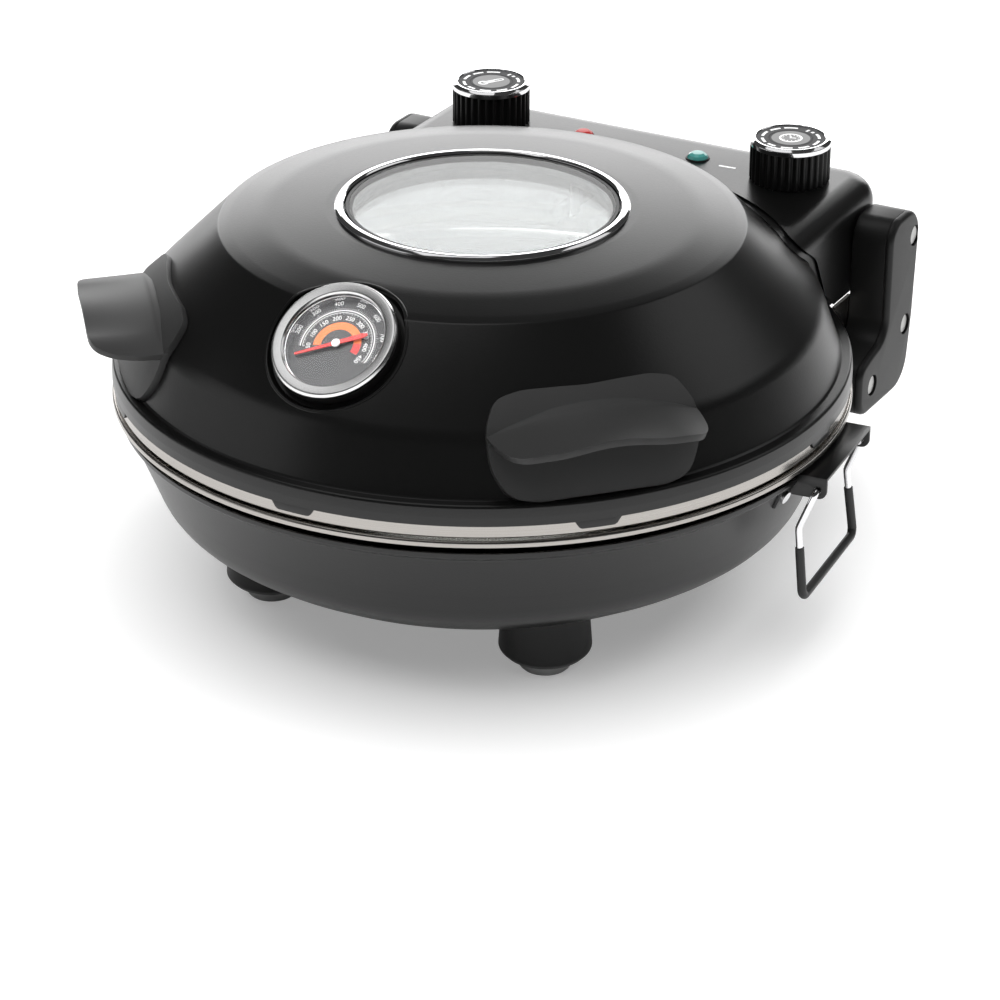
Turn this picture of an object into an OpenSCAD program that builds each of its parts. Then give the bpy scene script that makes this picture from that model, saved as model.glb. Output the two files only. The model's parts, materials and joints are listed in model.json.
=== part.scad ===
// Electric pizza maker: a round clamshell cooker with a stone, a domed lid with a window,
// a control box on the back of the lid, two hinge arms and two wire bail handles.
// Millimetres. +Z is up, the front is -Y. The origin is on the floor, under the middle of the object.

/* [Bowl] */
// Radius of the rolled rim where the lid meets the bowl
rim_r = 172.5; // [168:0.5:180]
// Height of the top of the bowl's rim above the floor
rim_z = 99.8; // [96:0.2:104]
// Height of the bowl's flat bottom above the floor
bowl_z = 22; // [18:0.5:25]
// How far the edge of the bowl's flat bottom lies inside the rim
bowl_floor_in = 72.5; // [68.5:0.5:80.5]
// How far inside the rim the bowl's side begins to rise steeply
bowl_side_in = 14.5; // [13.5:0.5:16.5]
// Thickness of the bowl's sheet
bowl_t = 1.2; // [1:0.1:1.6]
// Thickness of the inner pan's sheet
pan_t = 0.8; // [0.6:0.1:1.2]
// Height of the inner pan's floor
pan_z = 50; // [46:0.5:54]

/* [Stone and elements] */
// How far the baking stone's edge lies inside the rim
stone_in = 20; // [19:0.5:27.5]
// Thickness of the baking stone
stone_t = 12; // [8:0.5:14]
// Height of the stone's underside
stone_z = 78; // [76:0.5:80]
// Diameter of the heating element tube
element_d = 7; // [6:0.1:8]
// How far the lower element's ring lies inside the rim
lower_element_in = 60.5; // [52.5:0.5:77.5]
// How far the upper element's ring is in from the rim
upper_element_in = 80.5; // [77.5:0.5:92.5]
// Height of the upper element's ring
upper_element_z = 141; // [136:0.5:146]

/* [Feet] */
// How far the middle of each foot lies inside the rim
foot_in = 69; // [62.5:0.5:74.5]
// Diameter of a foot at the floor
foot_d = 43; // [36:0.5:48]
// Diameter of the rubber pad under a foot
pad_d = 23.6; // [18:0.2:30]
// Height of the foot's underside above the floor
pad_h = 7.4; // [5:0.2:9]

/* [Lid] */
// Height of the gap between the bowl's rim and the lid's steel band
lid_gap = 1.9; // [1:0.1:3]
// Height of the bare steel band
band_h = 5.7; // [4:0.1:8]
// Thickness of the lid's sheet
lid_t = 1; // [0.8:0.1:1.4]
// How far the edge of the plateau on top of the lid lies inside the rim
plateau_in = 51.3; // [48.5:0.2:54.5]
// Height of the plateau's edge
plateau_z = 178.7; // [176:0.1:182]
// Rise of the plateau from its edge to the window
plateau_rise = 5.2; // [3:0.1:7]
// How far inside the rim the shoulder's straight cone ends
shoulder_in = 20.5; // [18.5:0.5:22.5]
// Height at which the shoulder's straight cone ends
shoulder_z = 148; // [146:0.5:150]
// How far the skirt lies inside the rim, just above the rim bead
skirt_in = 6.1; // [4.5:0.2:7.5]
// Height of the skirt just above the rim bead
skirt_z = 118; // [116.5:0.2:120]
// Number of crimp tabs that hold the liner
tab_count = 8; // [4:1:12]
// Angle that one crimp tab spans
tab_angle = 6.4; // [4:0.2:8]

/* [Window] */
// Outer radius of the window's chrome ring
window_ring_r = 67; // [64:0.5:72]
// Width of the chrome ring's face
window_ring_w = 4.2; // [3:0.2:6]
// Height of the ring above the lid
window_ring_h = 3.3; // [2:0.1:5]
// Thickness of each window pane
glass_t = 3.4; // [3:0.1:4]

/* [Lid handles] */
// Angle of each lid handle from straight ahead
handle_angle = 47.4; // [42:0.2:52]
// Half of the angle that a handle's plate spans
handle_half_angle = 17.2; // [14:0.1:18]
// Thickness of a handle's plate
handle_t = 3; // [2:0.1:4]
// How far the front lip of the grip stands out beyond the rim
grip_out = 12.5; // [5.5:0.5:15.5]
// Thickness of the grip
grip_t = 2.6; // [2:0.1:3.4]

/* [Control box] */
// Width of the control box as a share of the rim's diameter
box_share = 0.6945; // [0.69:0.0005:0.7]
// How far the back of the control box lies behind the rim
box_out = 19.5; // [17.5:0.5:27.5]
// Height of the top of the control box
box_top_z = 159.7; // [157:0.1:162]
// Height of the lower edge of the control box
box_floor_z = 110; // [108.6:0.1:111.5]
// Thickness of the control box's wall
box_t = 1.5; // [1.2:0.1:2]
// Radius of the box's rear corners
box_corner_r = 18; // [14:0.5:22]
// Radius of the box's top edges
box_edge_r = 11.5; // [8:0.5:13]

/* [Knobs and lamps] */
// How far each knob's axis is in from the end of the control box
knob_side_in = 37; // [35:0.2:41]
// How far the middle of each knob lies in front of the rim's rearmost point
knob_in = 14; // [10.5:0.5:16.5]
// Diameter of a knob
knob_d = 39.4; // [34:0.2:42]
// Height of a knob
knob_h = 21.2; // [18:0.1:26]
// Height of the chrome ring on a knob
knob_ring_h = 3.6; // [2:0.1:5]
// Diameter of a knob's shaft
shaft_d = 6; // [5:0.1:8]
// Distance of each lamp from the axis of the knob on its side
lamp_knob_l = 51; // [43:0.2:58]
// How far the lamps lie in front of the rim's rearmost point
lamp_in = 10.7; // [7.5:0.2:14.5]
// Diameter of a lamp's lens
lamp_d = 10.6; // [8:0.2:12]

/* [Hinge] */
// How far the hinge's axis lies behind the rim
hinge_out = 0.5; // [0:0.1:1.5]
// Height of the hinge's axis
hinge_z = 132; // [131:0.1:133]
// Diameter of the hollow trunnions
trunnion_d = 16; // [14:0.5:18]
// Radial clearance of the trunnions in the arms
trunnion_clear = 0.08; // [0.05:0.01:0.1]
// Gap between the control box and each arm
arm_gap = 0.7; // [0.5:0.05:1.5]
// Thickness of an arm's inner shell
arm_w = 17.5; // [16:0.1:20]
// Thickness of an arm's outer cover
arm_cover_t = 3.5; // [3:0.1:5]
// Diameter of the recesses over the arm's screws
arm_screw_d = 11.4; // [9:0.2:12]

/* [Bail handles] */
// Angle of each bail bracket behind the sideways axis
bail_angle = 4.7; // [0:0.1:8]
// Length of a bail bracket
bail_bracket_l = 60.5; // [56:0.5:66]
// How far the bracket's outer edge stands out beyond the rim
bail_out = 8.9; // [7.5:0.2:11.5]
// Thickness of the bracket's sheet
bracket_t = 1.6; // [1.2:0.1:2]
// Diameter of the bail's wire
wire_d = 3.2; // [2.4:0.1:3.6]
// Outer diameter of the sleeve on the bail's wire
sleeve_d = 4.2; // [4:0.1:6]
// Width of the bail between the middles of its lower corners
bail_w = 70; // [68:0.5:80]
// Drop of the bail's bottom bar below its pivot
bail_drop = 52; // [46:0.5:56]
// Drop of the bend in each of the bail's legs below its pivot
bail_bend_drop = 18.5; // [14:0.5:22]
// How far the legs' bends lie inside the pivot, towards the bowl
bail_bend_in = 7; // [0:0.2:8]

/* [Thermometer] */
// Outer radius of the thermometer's bezel
bezel_r = 28.8; // [26:0.2:30]
// Radius of the visible glass
dial_r = 22.9; // [21:0.1:24]
// How far the middle of the thermometer's face lies behind the rim's foremost point
gauge_in = 39.5; // [38:0.5:41]
// Height of the middle of the thermometer's face
gauge_z = 170; // [169:0.5:171.5]
// Tilt of the thermometer's face back from the vertical axis
gauge_tilt = 37.5; // [36:0.5:40]
// Depth of the flat pocket below the thermometer's face
gauge_depth = 8; // [7:0.2:9]
// Length of the thermometer's stem
stem_l = 48; // [44:1:56]

/* [Hidden] */
$fn = 96;

// Clearances shared by pieces that meet
gap = 0.3;
seat = 0.5;
hole_clear = 0.2;

// Longer than any piece, for cuts that go right through
far = 2 * rim_r + 60;

// ---- Places measured from the rim ----
bowl_floor_r = rim_r - bowl_floor_in;
bowl_side_r = rim_r - bowl_side_in;
stone_r = rim_r - stone_in;
lower_element_r = rim_r - lower_element_in;
upper_element_r = rim_r - upper_element_in;
foot_r = rim_r - foot_in;
plateau_r = rim_r - plateau_in;
shoulder_r = rim_r - shoulder_in;
skirt_r = rim_r - skirt_in;
grip_reach = rim_r + grip_out;
box_x = rim_r * box_share;
box_back = rim_r + box_out;
knob_x = box_x - knob_side_in;
knob_y = rim_r - knob_in;
lamp_x = knob_x - lamp_knob_l;
lamp_y = rim_r - lamp_in;
hinge_y = rim_r + hinge_out;
bail_reach = rim_r + bail_out;
gauge_y = rim_r - gauge_in;

// The object's middle, front to back, is the origin
axis_y = (rim_r - box_back) / 2;

// ---- Paths and their walls ----

function unit(v) = v / norm(v);
function side(a, b) = let (d = unit(b - a)) [d[1], -d[0]];
// Points of a bend from a to b that leaves a and reaches b along the lines to c
function bend(a, c, b, n = 8) =
    [for (i = [0:n]) let (t = i / n) a * (1 - t) * (1 - t) + c * 2 * t * (1 - t) + b * t * t];
// A path moved sideways by d, with its corners mitred
function moved(path, d) =
    [for (i = [0:len(path) - 1])
        let (
            last = len(path) - 1,
            before = i > 0 ? side(path[i - 1], path[i]) : side(path[0], path[1]),
            after = i < last ? side(path[i], path[i + 1]) : before,
            m = unit(before + after)
        )
        path[i] + m * d / (m * before)];
function turned(path) = [for (i = [len(path) - 1:-1:0]) path[i]];
function wall(path, d) = concat(path, turned(moved(path, d)));
// Where two lines through p and q, with slopes m and k, cross
function crossing(p, m, q, k) =
    let (x = (q[1] - p[1] + m * p[0] - k * q[0]) / (m - k)) [x, p[1] + m * (x - p[0])];

// ---- Bowl ----
bowl_low_slope = 0.374;
bowl_high_slope = 2.667;
bowl_turn = [bowl_floor_r + 28, bowl_z + 28 * bowl_low_slope];
bowl_side = [bowl_side_r, bowl_z + 44];
bowl_edge_z = rim_z - 4.3;
bowl_neck_z = rim_z - 9.8;
bowl_neck = [bowl_side_r + (bowl_neck_z - bowl_side[1]) / bowl_high_slope, bowl_neck_z];
bowl_edge_r = rim_r - 2.4;
bowl_path = concat(
    [[bowl_floor_r, bowl_z]],
    bend(bowl_turn, crossing(bowl_turn, bowl_low_slope, bowl_side, bowl_high_slope), bowl_side),
    [bowl_neck, [bowl_edge_r, bowl_neck_z + 2.6], [bowl_edge_r, bowl_edge_z]]
);
// Solid of revolution that fills the bowl out to its outer face, grown by d
function bowl_fill(d) = concat(
    [[0, rim_z + 1], [0, bowl_z - d]],
    moved(bowl_path, d),
    [[bowl_edge_r + d, rim_z + 1]]
);
module bowl_solid(d = 0) {
    rotate_extrude() polygon(bowl_fill(d));
}

// ---- Inner pan ----
pan_gap = 2.2;
pan_top_r = bowl_neck[0] - bowl_t - pan_gap;
pan_turn_r = pan_top_r - 12;
pan_floor_r = pan_turn_r - 17.6;
pan_path = [
    [0, pan_z], [pan_floor_r, pan_z], [pan_turn_r, pan_z + 12], [pan_top_r, bowl_edge_z - 1],
    [pan_top_r, rim_z - pan_t]
];
pan_rim_h = 3;

// ---- Lid ----
band_z = rim_z + lid_gap;
flange_z = band_z + band_h;
crown_r = window_ring_r + 3;
crown_z = plateau_z + plateau_rise;
shoulder_slope = (plateau_z - shoulder_z) / (plateau_r - shoulder_r);
skirt_slope = -10;
lid_bend = bend([shoulder_r, shoulder_z],
    crossing([shoulder_r, shoulder_z], shoulder_slope, [skirt_r, skirt_z], skirt_slope),
    [skirt_r, skirt_z]);
lid_path = concat(
    [[window_ring_r - 3, crown_z]],
    bend([crown_r, crown_z], [crown_r + 26, crown_z - 0.8], [plateau_r, plateau_z], 6),
    lid_bend,
    [[skirt_r + 1.6, skirt_z - 1], [rim_r - 2, skirt_z - 1], [rim_r, skirt_z - 2.8],
        [rim_r, flange_z]]
);
// Solid of revolution that fills the lid out to its outer face, grown by d
function lid_fill(d) = concat([[0, flange_z - 1], [0, crown_z + d]], moved(lid_path, -d),
    [[rim_r + d, flange_z - 1]]);
module lid_solid(d = 0) {
    rotate_extrude() polygon(lid_fill(d));
}
// The lid's dome without its bead and flange, grown by d
dome_path = [for (p = lid_path) if (p[0] <= skirt_r && p[1] >= skirt_z) p];
module dome_solid(d = 0) {
    grown = moved(dome_path, -d);
    last = grown[len(grown) - 1];
    rotate_extrude() polygon(concat([[0, skirt_z - 12], [0, crown_z + d]], grown,
        [[last[0] + 0.5, skirt_z - 12]]));
}

// ---- Liner: hangs inside the shell and ends in the bare steel band ----
liner_t = 0.8;
band_r = rim_r - lid_t - seat;
liner_top_z = crown_z - 9;
liner_drop = 14;
liner_path = concat(
    [[window_ring_r - 2.7, liner_top_z], [plateau_r - 12, plateau_z - liner_drop]],
    bend([shoulder_r - 12, shoulder_z - liner_drop + 2], [skirt_r - 9, shoulder_z - 22],
        [skirt_r - 8, skirt_z - 2], 5),
    [[band_r, skirt_z - 5], [band_r, band_z]]
);

// ---- Control box ----
box_depth = 132;
box_front = box_back - box_depth;
box_inner_top = box_top_z - box_t;
floor_t = 1.5;
lip_out = 5;
lip_low_out = 7;
lip_step = 0.8;
bead_clear = 1.5;
// Fills the lid out to the lip at the front of the box
lip_fill = concat([[0, 0], [0, crown_z + 1]], [for (p = dome_path) p + [lip_out, 0]],
    [[rim_r + lip_low_out, box_floor_z], [rim_r + lip_low_out, 0]]);

// ---- Hinge ----
arm_x = box_x + arm_gap;
arm_cover_x = arm_x + arm_w;
arm_bore_r = trunnion_d / 2 + trunnion_clear;
hinge_plate_t = 1.6;
trunnion_out = 12;
top_screw = [6.7, 2];
middle_screw = [0.4, -42.6];
low_screw = [-37.6, -60.6];
// Screws of an arm as [y, z, start]: the top one starts beyond the end of the trunnion
arm_screws_at = [
    [hinge_y + top_screw[0], hinge_z + top_screw[1], trunnion_out + 1],
    [hinge_y + middle_screw[0], hinge_z + middle_screw[1], 0],
    [hinge_y + low_screw[0], hinge_z + low_screw[1], 0]
];

// ---- Window ----
ring_in_r = window_ring_r - window_ring_w;
pane_r = ring_in_r - 0.1;
gasket_w = 1.6;
inner_pane_drop = 9;
outer_pane_drop = 1.4;
inner_pane_z = crown_z - inner_pane_drop;
outer_pane_z = crown_z - outer_pane_drop;
ring_top_z = crown_z + window_ring_h;

// ---- Lid handles ----
grip_root_r = shoulder_r - 3.5;
grip_half_w = 43;
grip_z = 148.2;

// ---- Knobs ----
knob_gap = 0.5;
knob_z = box_top_z + knob_gap;
knob_top_z = knob_z + knob_h;
insert_d = 33.4;
insert_sink = 1;
shaft_low_z = box_inner_top - 12;
shaft_clear = 0.06;
control_body_z = box_inner_top - 18;
control_front = 11;

// ---- Bails ----
pivot_drop = 6.8;
bracket_top_z = bowl_edge_z - 0.2;
pivot_z = bracket_top_z - pivot_drop;
pivot_x = bail_reach - 4.4;
ear_inner = bail_bracket_l / 2 - bracket_t;
ear_depth = 10.6;
wire_clear = 0.1;
bail_bottom_in = 3;
sleeve_top_share = 0.28;
bend_swell = 0.12;
flange_over = 8.5;
bail_flange_in = 38;
rivet_d = 6;

// ---- Thermometer ----
pocket_r = bezel_r + 3.2;
bezel_h = 3;
lens_t = 1.6;
collar_r = 6;
stem_r = 3;
needle_z = -bezel_h - 1.6;

// ---- Helpers ----

module placed() {
    translate([0, axis_y, 0]) children();
}

// Mirrors its children to the left when side_x is -1
module on_side(side_x) {
    if (side_x > 0) {
        children();
    } else {
        mirror([1, 0, 0]) children();
    }
}

// Places its children at an arm's screws, pointing outwards; $start is where each screw begins
module at_screws() {
    for (p = arm_screws_at) {
        $start = p[2];
        translate([0, p[0], p[1]]) rotate([0, 90, 0]) children();
    }
}

module at_feet() {
    for (a = [45:90:315]) {
        rotate([0, 0, a]) translate([foot_r, 0, 0]) children();
    }
}

module at_gauge() {
    translate([0, -gauge_y, gauge_z]) rotate([gauge_tilt, 0, 0]) children();
}

module at_bail(side_x) {
    rotate([0, 0, side_x > 0 ? bail_angle : 180 - bail_angle]) children();
}

module tube(r, hole_r, h) {
    difference() {
        cylinder(r = r, h = h);
        translate([0, 0, -1]) cylinder(r = hole_r, h = h + 2);
    }
}

// ---- Base ----

module base_bowl() {
    placed() color([0.07, 0.07, 0.07]) difference() {
        rotate_extrude() polygon(concat([[0, bowl_z]], bowl_path,
            turned(moved(bowl_path, -bowl_t)), [[0, bowl_z + bowl_t]]));
        at_feet() cylinder(d = screw_hole_d, h = 60);
        for (s = [-1, 1]) {
            at_bail(s) at_rivets() cylinder(d = rivet_shank_d, h = 20, center = true);
        }
        // Way in for the element's leads
        translate([0, bowl_side_r - 8, bowl_z + 20]) rotate([-90, 0, 0]) cylinder(d = 12, h = 40);
    }
}

screw_d = 4;
screw_hole_d = screw_d + 2 * hole_clear;

module inner_pan() {
    placed() color([0.78, 0.78, 0.76]) difference() {
        union() {
            rotate_extrude() polygon(wall(pan_path, -pan_t));
            rotate_extrude() polygon(pan_rim);
        }
        for (x = [-1, 1]) {
            translate([x * element_leg_x, lower_leg_y, pan_z - 5])
                cylinder(d = element_d + 2 * hole_clear, h = 20);
        }
    }
}
// The rim lies flat on the bowl's edge and turns down outside it
pan_rim = [
    [pan_top_r - pan_t, rim_z - pan_t], [pan_top_r - pan_t, rim_z], [rim_r - 1, rim_z],
    [rim_r, rim_z - 1], [rim_r, rim_z - pan_rim_h], [rim_r - pan_t, rim_z - pan_rim_h],
    [rim_r - pan_t, rim_z - pan_t - 0.6], [rim_r - pan_t - 0.6, rim_z - pan_t]
];

element_leg_x = 12;
lower_element_z = stone_z - 14;
lower_leg_y = sqrt(lower_element_r * lower_element_r - element_leg_x * element_leg_x);
element_open = asin(element_leg_x / lower_element_r);

// Collar where a ring's end is joined to its leg
module element_knuckle() {
    sphere(d = element_d + 1, $fn = 32);
}

// An open ring of round tube, with its gap at the back
module element_ring(r, open) {
    rotate([0, 0, 90 + open]) rotate_extrude(angle = 360 - 2 * open)
        translate([r, 0]) circle(d = element_d, $fn = 32);
}

module lower_element() {
    placed() color([0.35, 0.34, 0.33]) {
        translate([0, 0, lower_element_z]) element_ring(lower_element_r, element_open);
        for (x = [-1, 1]) {
            translate([x * element_leg_x, lower_leg_y, lower_element_z]) element_knuckle();
            translate([x * element_leg_x, lower_leg_y, pan_z - 14])
                cylinder(d = element_d, h = lower_element_z - pan_z + 14, $fn = 32);
        }
    }
}

module element_clips() {
    clip_h = lower_element_z - element_d / 2 - pan_z - pan_t;
    placed() color([0.7, 0.7, 0.68]) for (a = [30:120:270]) {
        rotate([0, 0, a]) translate([lower_element_r, 0, pan_z + pan_t]) {
            translate([-3, -6, 0]) cube([6, 12, clip_h]);
            translate([-9, -6, 0]) cube([18, 12, 1]);
        }
    }
}

module pizza_stone() {
    placed() color([0.83, 0.76, 0.66]) translate([0, 0, stone_z]) rotate_extrude() polygon([
        [0, 0], [stone_r - 1, 0], [stone_r, 1], [stone_r, stone_t - 1.5],
        [stone_r - 1.5, stone_t], [0, stone_t]
    ]);
}

module stone_rests() {
    rest_r = lower_element_r + 12;
    rest_h = stone_z - pan_z - pan_t;
    placed() color([0.7, 0.7, 0.68]) for (a = [0:90:270]) {
        rotate([0, 0, a + 20]) translate([rest_r, 0, pan_z + pan_t]) {
            translate([-6, -8, 0]) cube([12, 16, 1.2]);
            translate([-6, -8, 0]) cube([1.2, 16, rest_h]);
            translate([-6, -8, rest_h - 1.2]) cube([14, 16, 1.2]);
        }
    }
}

module feet() {
    placed() color([0.06, 0.06, 0.06]) difference() {
        at_feet() difference() {
            rotate_extrude() polygon([
                [0, pad_h], [foot_d / 2 - 3, pad_h], [foot_d / 2 - 0.8, pad_h + 1],
                [foot_d / 2, pad_h + 3], [foot_d / 2 - 2.2, bowl_z + 20], [0, bowl_z + 20]
            ]);
            translate([0, 0, pad_h - 1]) cylinder(d = pad_d + 2 * hole_clear, h = 3);
            translate([0, 0, pad_h]) cylinder(d = 9, h = 7);
            cylinder(d = screw_hole_d, h = 60);
        }
        bowl_solid();
    }
}

module foot_pads() {
    placed() color([0.5, 0.5, 0.5]) at_feet() difference() {
        rotate_extrude() polygon([[0, 0], [pad_d / 2 - 1, 0], [pad_d / 2, 1],
            [pad_d / 2, pad_h + 2], [0, pad_h + 2]]);
        translate([0, 0, 2]) cylinder(d = 9, h = pad_h + 2);
    }
}

module foot_screws() {
    head_z = pad_h + 5;
    nut_z = bowl_z + (foot_r + 4 - bowl_floor_r) * bowl_low_slope + bowl_t + 0.2;
    placed() color([0.75, 0.75, 0.74]) at_feet() {
        translate([0, 0, head_z]) cylinder(d = 7.6, h = 2);
        translate([0, 0, head_z]) cylinder(d = screw_d, h = nut_z + 5 - head_z);
        translate([0, 0, nut_z]) cylinder(d = 8, h = 3, $fn = 6);
    }
}

// ---- Bail handles ----

module bail_bracket(side_x) {
    hole_r = wire_d / 2 + wire_clear;
    placed() color([0.07, 0.07, 0.07]) at_bail(side_x) difference() {
        union() {
            translate([bracket_root_r, -bail_bracket_l / 2, bracket_top_z - bracket_t])
                cube([bracket_out, bail_bracket_l, bracket_t]);
            for (y = [-1, 1]) {
                translate([bracket_root_r, y > 0 ? ear_inner : -bail_bracket_l / 2, 0]) {
                    translate([0, 0, bracket_top_z - ear_depth + ear_round])
                        cube([bracket_out, bracket_t, ear_depth - ear_round]);
                    translate([0, 0, bracket_top_z - ear_depth])
                        cube([bracket_out - ear_round, bracket_t, ear_depth]);
                    translate([bracket_out - ear_round, 0, bracket_top_z - ear_depth + ear_round])
                        rotate([-90, 0, 0]) cylinder(r = ear_round, h = bracket_t, $fn = 48);
                }
            }
            bail_flange();
        }
        bowl_solid();
        for (y = [-1, 1]) {
            translate([pivot_x, y * bail_bracket_l / 2, pivot_z]) rotate([90, 0, 0])
                cylinder(r = hole_r, h = 6, center = true, $fn = 48);
        }
        at_rivets() cylinder(d = rivet_shank_d, h = 30, center = true);
    }
}

ear_round = 4;
bracket_root_r = bowl_side_r - 8;
bracket_out = bail_reach - bracket_root_r;
rivet_shank_d = 3;
flange_low_z = bracket_top_z - 15;
rivet_z = bracket_top_z - 9.5;
rivet_y = bail_bracket_l / 2 + flange_over / 2;
rivet_r = bowl_side_r + (rivet_z - bowl_side[1]) / bowl_high_slope;
rivet_lean = atan(1 / bowl_high_slope);

// Places its children on the bowl's side, pointing straight out of it
module at_rivets() {
    turn = asin(rivet_y / rivet_r);
    for (a = [-turn, turn]) {
        rotate([0, 0, a]) translate([rivet_r, 0, rivet_z]) rotate([0, 90 + rivet_lean, 0]) children();
    }
}

// The bracket's sheet where it lies against the bowl
module bail_flange() {
    intersection() {
        bowl_solid(bracket_t);
        translate([bowl_side_r - bail_flange_in, -bail_bracket_l / 2 - flange_over, flange_low_z])
            cube([far, bail_bracket_l + 2 * flange_over, bowl_neck_z - flange_low_z]);
    }
}

module bracket_rivets() {
    placed() color([0.8, 0.8, 0.8]) for (s = [1, -1]) {
        at_bail(s) at_rivets() {
            translate([0, 0, bracket_t]) cylinder(d = rivet_d, h = 1.4);
            translate([0, 0, -bowl_t - 1.2]) cylinder(d = rivet_shank_d - 0.2, h = bowl_t + bracket_t + 2);
        }
    }
}

// Middle line of half a bail: its pivot, the bend in its leg and its lower corner
bail_half = [
    [pivot_x, bail_bracket_l / 2 + wire_d / 2 + gap, pivot_z],
    [pivot_x - bail_bend_in, bail_bracket_l / 2 + wire_d / 2 + 1, pivot_z - bail_bend_drop],
    [pivot_x - bail_bottom_in, bail_w / 2, pivot_z - bail_drop]
];
sleeve_top = bail_half[1] + (bail_half[2] - bail_half[1]) * sleeve_top_share;

// A point on the other half of the bail when m is -1
function mirrored_y(p, m) = [p[0], m * p[1], p[2]];

// A straight round bar between two points
module bar(a, b, d) {
    v = b - a;
    translate(a) rotate([0, acos(v[2] / norm(v)), atan2(v[1], v[0])]) cylinder(d = d, h = norm(v), $fn = 32);
}

// Rounds a bend of the bail, a little fuller than the bars that meet there
module bend_ball(p, d) {
    translate(p) sphere(d = d + bend_swell, $fn = 32);
}

module bail_wire(side_x) {
    placed() color([0.8, 0.8, 0.8]) at_bail(side_x) {
        for (m = [-1, 1]) {
            p = [for (q = bail_half) mirrored_y(q, m)];
            bar([pivot_x, m * (ear_inner - 3), pivot_z], p[0], wire_d);
            bend_ball(p[0], wire_d);
            bar(p[0], p[1], wire_d);
            bend_ball(p[1], wire_d);
            bar(p[1], p[2], wire_d);
            bend_ball(p[2], wire_d);
        }
        bar(mirrored_y(bail_half[2], -1), bail_half[2], wire_d);
    }
}

// Everything inside the sleeve's outline at diameter d, from its tops down round the bottom bar
module sleeve_form(d, over) {
    for (m = [-1, 1]) {
        low = mirrored_y(bail_half[2], m);
        top = mirrored_y(sleeve_top + (sleeve_top - bail_half[2]) * over, m);
        bar(low, top, d);
        bend_ball(low, d);
    }
    bar(mirrored_y(bail_half[2], -1), bail_half[2], d);
}

// Black sleeve over the straight legs and the bottom bar
module bail_sleeve(side_x) {
    placed() color([0.06, 0.06, 0.06]) at_bail(side_x) difference() {
        sleeve_form(sleeve_d, 0);
        sleeve_form(wire_d, 0.1);
    }
}

// ---- Hinge arms ----

arm_head_h = 16.5;
arm_drop = 75;
arm_head_front = 22;
arm_head_back = 13;
arm_foot_reach = 52;
arm_foot_h = 29;
arm_round = 11;
arm_top_z = hinge_z + arm_head_h;
arm_low_z = hinge_z - arm_drop;
arm_front_y = hinge_y - arm_head_front;
arm_back_y = hinge_y + arm_head_back;
arm_foot_y = hinge_y - arm_foot_reach;
arm_instep_z = arm_low_z + arm_foot_h;
// Side outline of an arm as points [y, z], from the front of its foot round to its back
arm_outline = concat(
    bend([arm_foot_y + arm_round, arm_low_z], [arm_foot_y, arm_low_z],
        [arm_foot_y, arm_low_z + arm_round], 4),
    bend([arm_foot_y, arm_instep_z - 10], [arm_foot_y, arm_instep_z - 2], [arm_foot_y + 8, arm_instep_z], 4),
    bend([arm_foot_y + 12, arm_instep_z + 1], [arm_front_y, arm_instep_z + 4],
        [arm_front_y, arm_instep_z + 17], 6),
    bend([arm_front_y, arm_top_z - arm_round], [arm_front_y, arm_top_z],
        [arm_front_y + arm_round, arm_top_z], 5),
    bend([arm_back_y - 15, arm_top_z], [arm_back_y, arm_top_z], [arm_back_y, arm_top_z - 15], 5),
    bend([arm_back_y - 6, arm_instep_z + 7], [arm_back_y - 7.5, arm_low_z], [arm_front_y + 13, arm_low_z], 6)
);
arm_wall = 2.4;

module arm_plan(inset) {
    polygon(inset > 0 ? inset_loop(arm_outline, inset) : arm_outline);
}
// A closed outline shrunk by d
function inset_loop(loop, d) =
    let (n = len(loop), clean = [for (i = [0:n - 1]) if (norm(loop[i] - loop[(i + 1) % n]) > 0.1) loop[i]],
        m = len(clean))
    [for (i = [0:m - 1])
        let (
            before = side(clean[(i + m - 1) % m], clean[i]),
            after = side(clean[i], clean[(i + 1) % m]),
            mid = unit(before + after)
        )
        clean[i] + mid * d / (mid * before)];

// Raises a [y, z] outline along X from x by h
module along_x(x, h) {
    translate([x, 0, 0]) rotate([90, 0, 90]) linear_extrude(h) children();
}

module hinge_arm(side_x) {
    boss_r = arm_bore_r + 3;
    placed() color([0.1, 0.1, 0.1]) on_side(side_x) difference() {
        union() {
            difference() {
                along_x(arm_x, arm_w) arm_plan(0);
                along_x(arm_x + arm_wall, arm_w) arm_plan(arm_wall);
            }
            translate([arm_x, hinge_y, hinge_z]) rotate([0, 90, 0]) cylinder(r = boss_r, h = 14);
            translate([arm_x, 0, 0]) at_screws() translate([0, 0, $start])
                cylinder(r = screw_boss_r, h = arm_w - $start);
        }
        translate([arm_x - 1, hinge_y, hinge_z]) rotate([0, 90, 0])
            cylinder(r = arm_bore_r, h = trunnion_out + 1.5);
        translate([arm_x, 0, 0]) at_screws() translate([0, 0, $start > 0 ? $start : -1])
            cylinder(d = screw_hole_d, h = arm_w + 2);
    }
}
screw_boss_r = 4.2;

module arm_cover(side_x) {
    placed() color([0.12, 0.12, 0.12]) on_side(side_x) difference() {
        union() {
            along_x(arm_cover_x, arm_cover_t - 1.5) arm_plan(0);
            along_x(arm_cover_x + arm_cover_t - 1.5, 0.8) arm_plan(0.7);
            along_x(arm_cover_x + arm_cover_t - 0.7, 0.7) arm_plan(1.8);
        }
        translate([arm_cover_x + 1, 0, 0]) at_screws() cylinder(d = arm_screw_d, h = arm_cover_t);
        translate([arm_cover_x - 1, 0, 0]) at_screws() cylinder(d = screw_hole_d, h = arm_cover_t);
    }
}

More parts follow.
